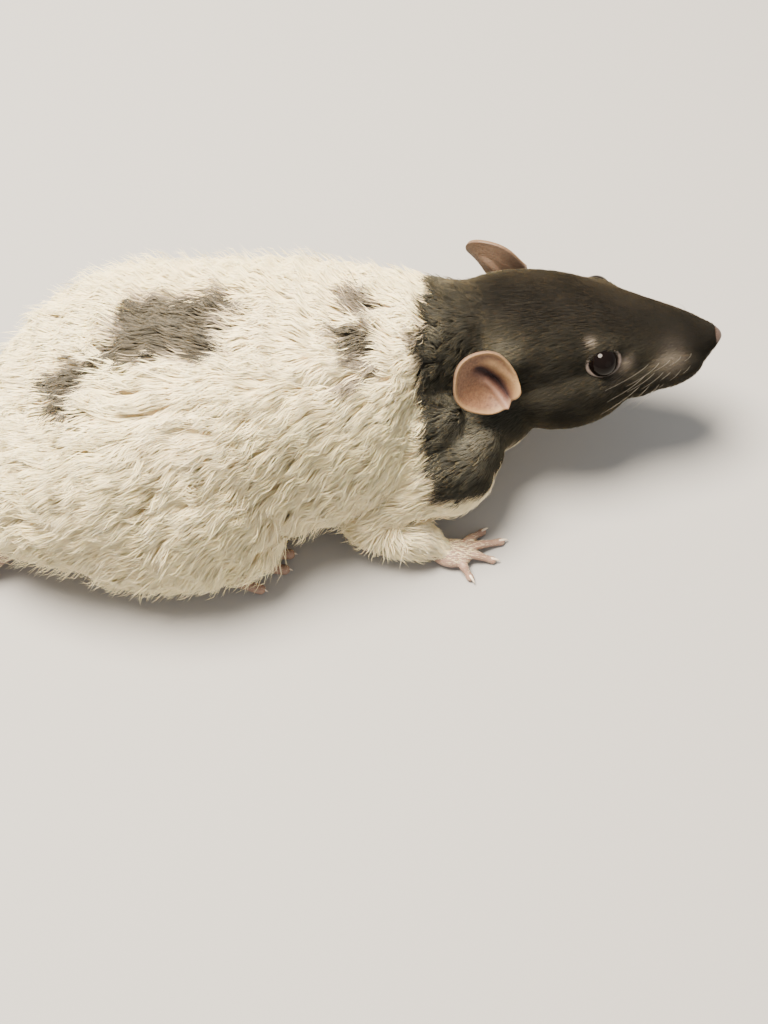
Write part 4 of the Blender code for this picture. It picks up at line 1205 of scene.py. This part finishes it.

# Scaly skin has a dry shine that each ring and scale breaks up. Its grooves are painted darker:
# painted shade in the recesses between the rings.
tail_skin, tree, shader = new_material("tail skin")
at = add_node(tree, "TexCoord", output="Object")
flush = add_node(tree, "TexNoise", ("Vector", at), ("Scale", 1000 / 9.0))
pinks = ((0, flush), (6, colour("A58673")), (7, colour("907063")))
base = add_node(tree, "Mix", *pinks, **COLOUR_MIX)
worn = add_node(tree, "TexNoise", ("Vector", at), ("Scale", 1000 / 1.4), ("Detail", 3.0))
base = add_node(tree, "Mix", (0, worn), (6, base), (7, colour("A18572")), **COLOUR_MIX)
groove = add_node(tree, "Attribute", output="Fac", attribute_name="groove")
base = add_node(tree, "Mix", (0, groove), (6, base), (7, colour("70544A")), **COLOUR_MIX)
tree.links.new(base, shader.inputs["Base Color"])
shader.inputs["Roughness"].default_value = 0.5
scales = add_node(tree, "TexVoronoi", ("Vector", at), ("Scale", 1100.0), output="Distance")
height = (("Height", scales), ("Strength", 0.5), ("Distance", 0.0003))
tree.links.new(add_node(tree, "Bump", *height), shader.inputs["Normal"])

path = np.array(smooth_rows(TAIL, 8))
run = np.concatenate([[0], np.cumsum(np.linalg.norm(np.diff(path, axis=0), axis=1))])
rows = []
grooves = []
at = 0.0
while at < run[-1] - 1:
    ring = float(np.interp(at, (0, run[-1]), SCALE_RING))
    radius = float(np.interp(at, (0, run[-1]), TAIL_R))
    # Each ring's groove, where it swells in least, takes the painted shade.
    for share, swell, groove in ((0.0, -0.10, 1.0), (0.3, 0.02, 0.2), (0.85, 0.06, 0.0)):
        spot = [np.interp(at + ring * share, run, path[:, axis]) for axis in range(3)]
        size = radius + swell * (0.5 + radius / 6)
        rows.append((*spot, size, size, size))
        grooves.append(groove)
    at += ring
rows.append((*path[-1], 0.3, 0.3, 0.3))
grooves.append(0.0)
bm = bmesh.new()
add_loft(bm, rows, 28)
tail = made_object("tail", bm)
add_attribute(tail, "groove", np.repeat(grooves, 28))
on_floor(tail)
path_tree = KDTree(len(path))
for index, at in enumerate(path):
    path_tree.insert(at, index)
path_tree.balance()
path_ways = unit(np.gradient(path, axis=0))


def path_index(roots):
    return np.array([path_tree.find(root)[1] for root in roots])


def tail_hair_sizes(points):
    none = np.zeros(len(points))
    return none + 2.0, none + 0.08, none + 0.45, none + 1, none


def tail_hair_share(roots, out):
    return 0.16 * (out[:, 2] > -0.5) * (roots[:, 0] < -84)


def round_tail(roots):
    index = path_index(roots)
    x, y, z = (roots - path[index]).T
    return unwrapped(run[index], y * path_ways[index, 0] - x * path_ways[index, 1], z)


to_tip = ("tail_hair", tail, tail_hair_sizes, tail_hair_share)
grow_hair(*to_tip, lambda roots: path_ways[path_index(roots)], round_tail)
finished(tail, tail_skin, "tail_skin", *(f"tail_{k + 1}" for k in range(4)))


# The floor, the light and the camera, which are no part of the model.
floor_paint, tree, shader = new_material("pale floor")
shader.inputs["Base Color"].default_value = colour("9E9D9C")
shader.inputs["Roughness"].default_value = 0.9
bm = bmesh.new()
bmesh.ops.create_grid(bm, x_segments=1, y_segments=1, size=2.0)
floor = made_object("floor", bm)
floor.data.materials.append(floor_paint)

world = bpy.data.worlds.new("studio")
world.use_nodes = True
world.node_tree.nodes["Background"].inputs["Color"].default_value = colour("F4F2EE")
world.node_tree.nodes["Background"].inputs["Strength"].default_value = 0.85
bpy.context.scene.world = world
for name, spot, size, power in (
    ("key", (-0.26, 0.07, 0.92), 0.5, 56.0),
    ("fill", (0.7, -0.7, 0.35), 0.8, 1.0),
):
    lamp = bpy.data.objects.new(name, bpy.data.lights.new(name, "AREA"))
    lamp.data.shape = "DISK"
    lamp.data.color = colour("FFF2DE")[:3]
    lamp.data.energy = power
    lamp.data.size = size
    lamp.location = spot
    lamp.rotation_mode = "QUATERNION"
    lamp.rotation_quaternion = (-Vector(spot)).to_track_quat("-Z", "Y")
    bpy.context.scene.collection.objects.link(lamp)

CAMERA_DISTANCE = 330.0
CAMERA_ELEVATION = 60.0
tilt = math.radians(CAMERA_ELEVATION)
back = Vector((0, -math.cos(tilt), math.sin(tilt)))
camera = bpy.data.objects.new("camera", bpy.data.cameras.new("camera"))
camera.data.lens = 50
camera.data.sensor_width = 36
camera.data.clip_start = 0.01
camera.location = to_model @ (back * CAMERA_DISTANCE * MM)
camera.rotation_mode = "QUATERNION"
camera.rotation_quaternion = (-back).to_track_quat("-Z", "Y")
bpy.context.scene.collection.objects.link(camera)
bpy.context.scene.camera = camera
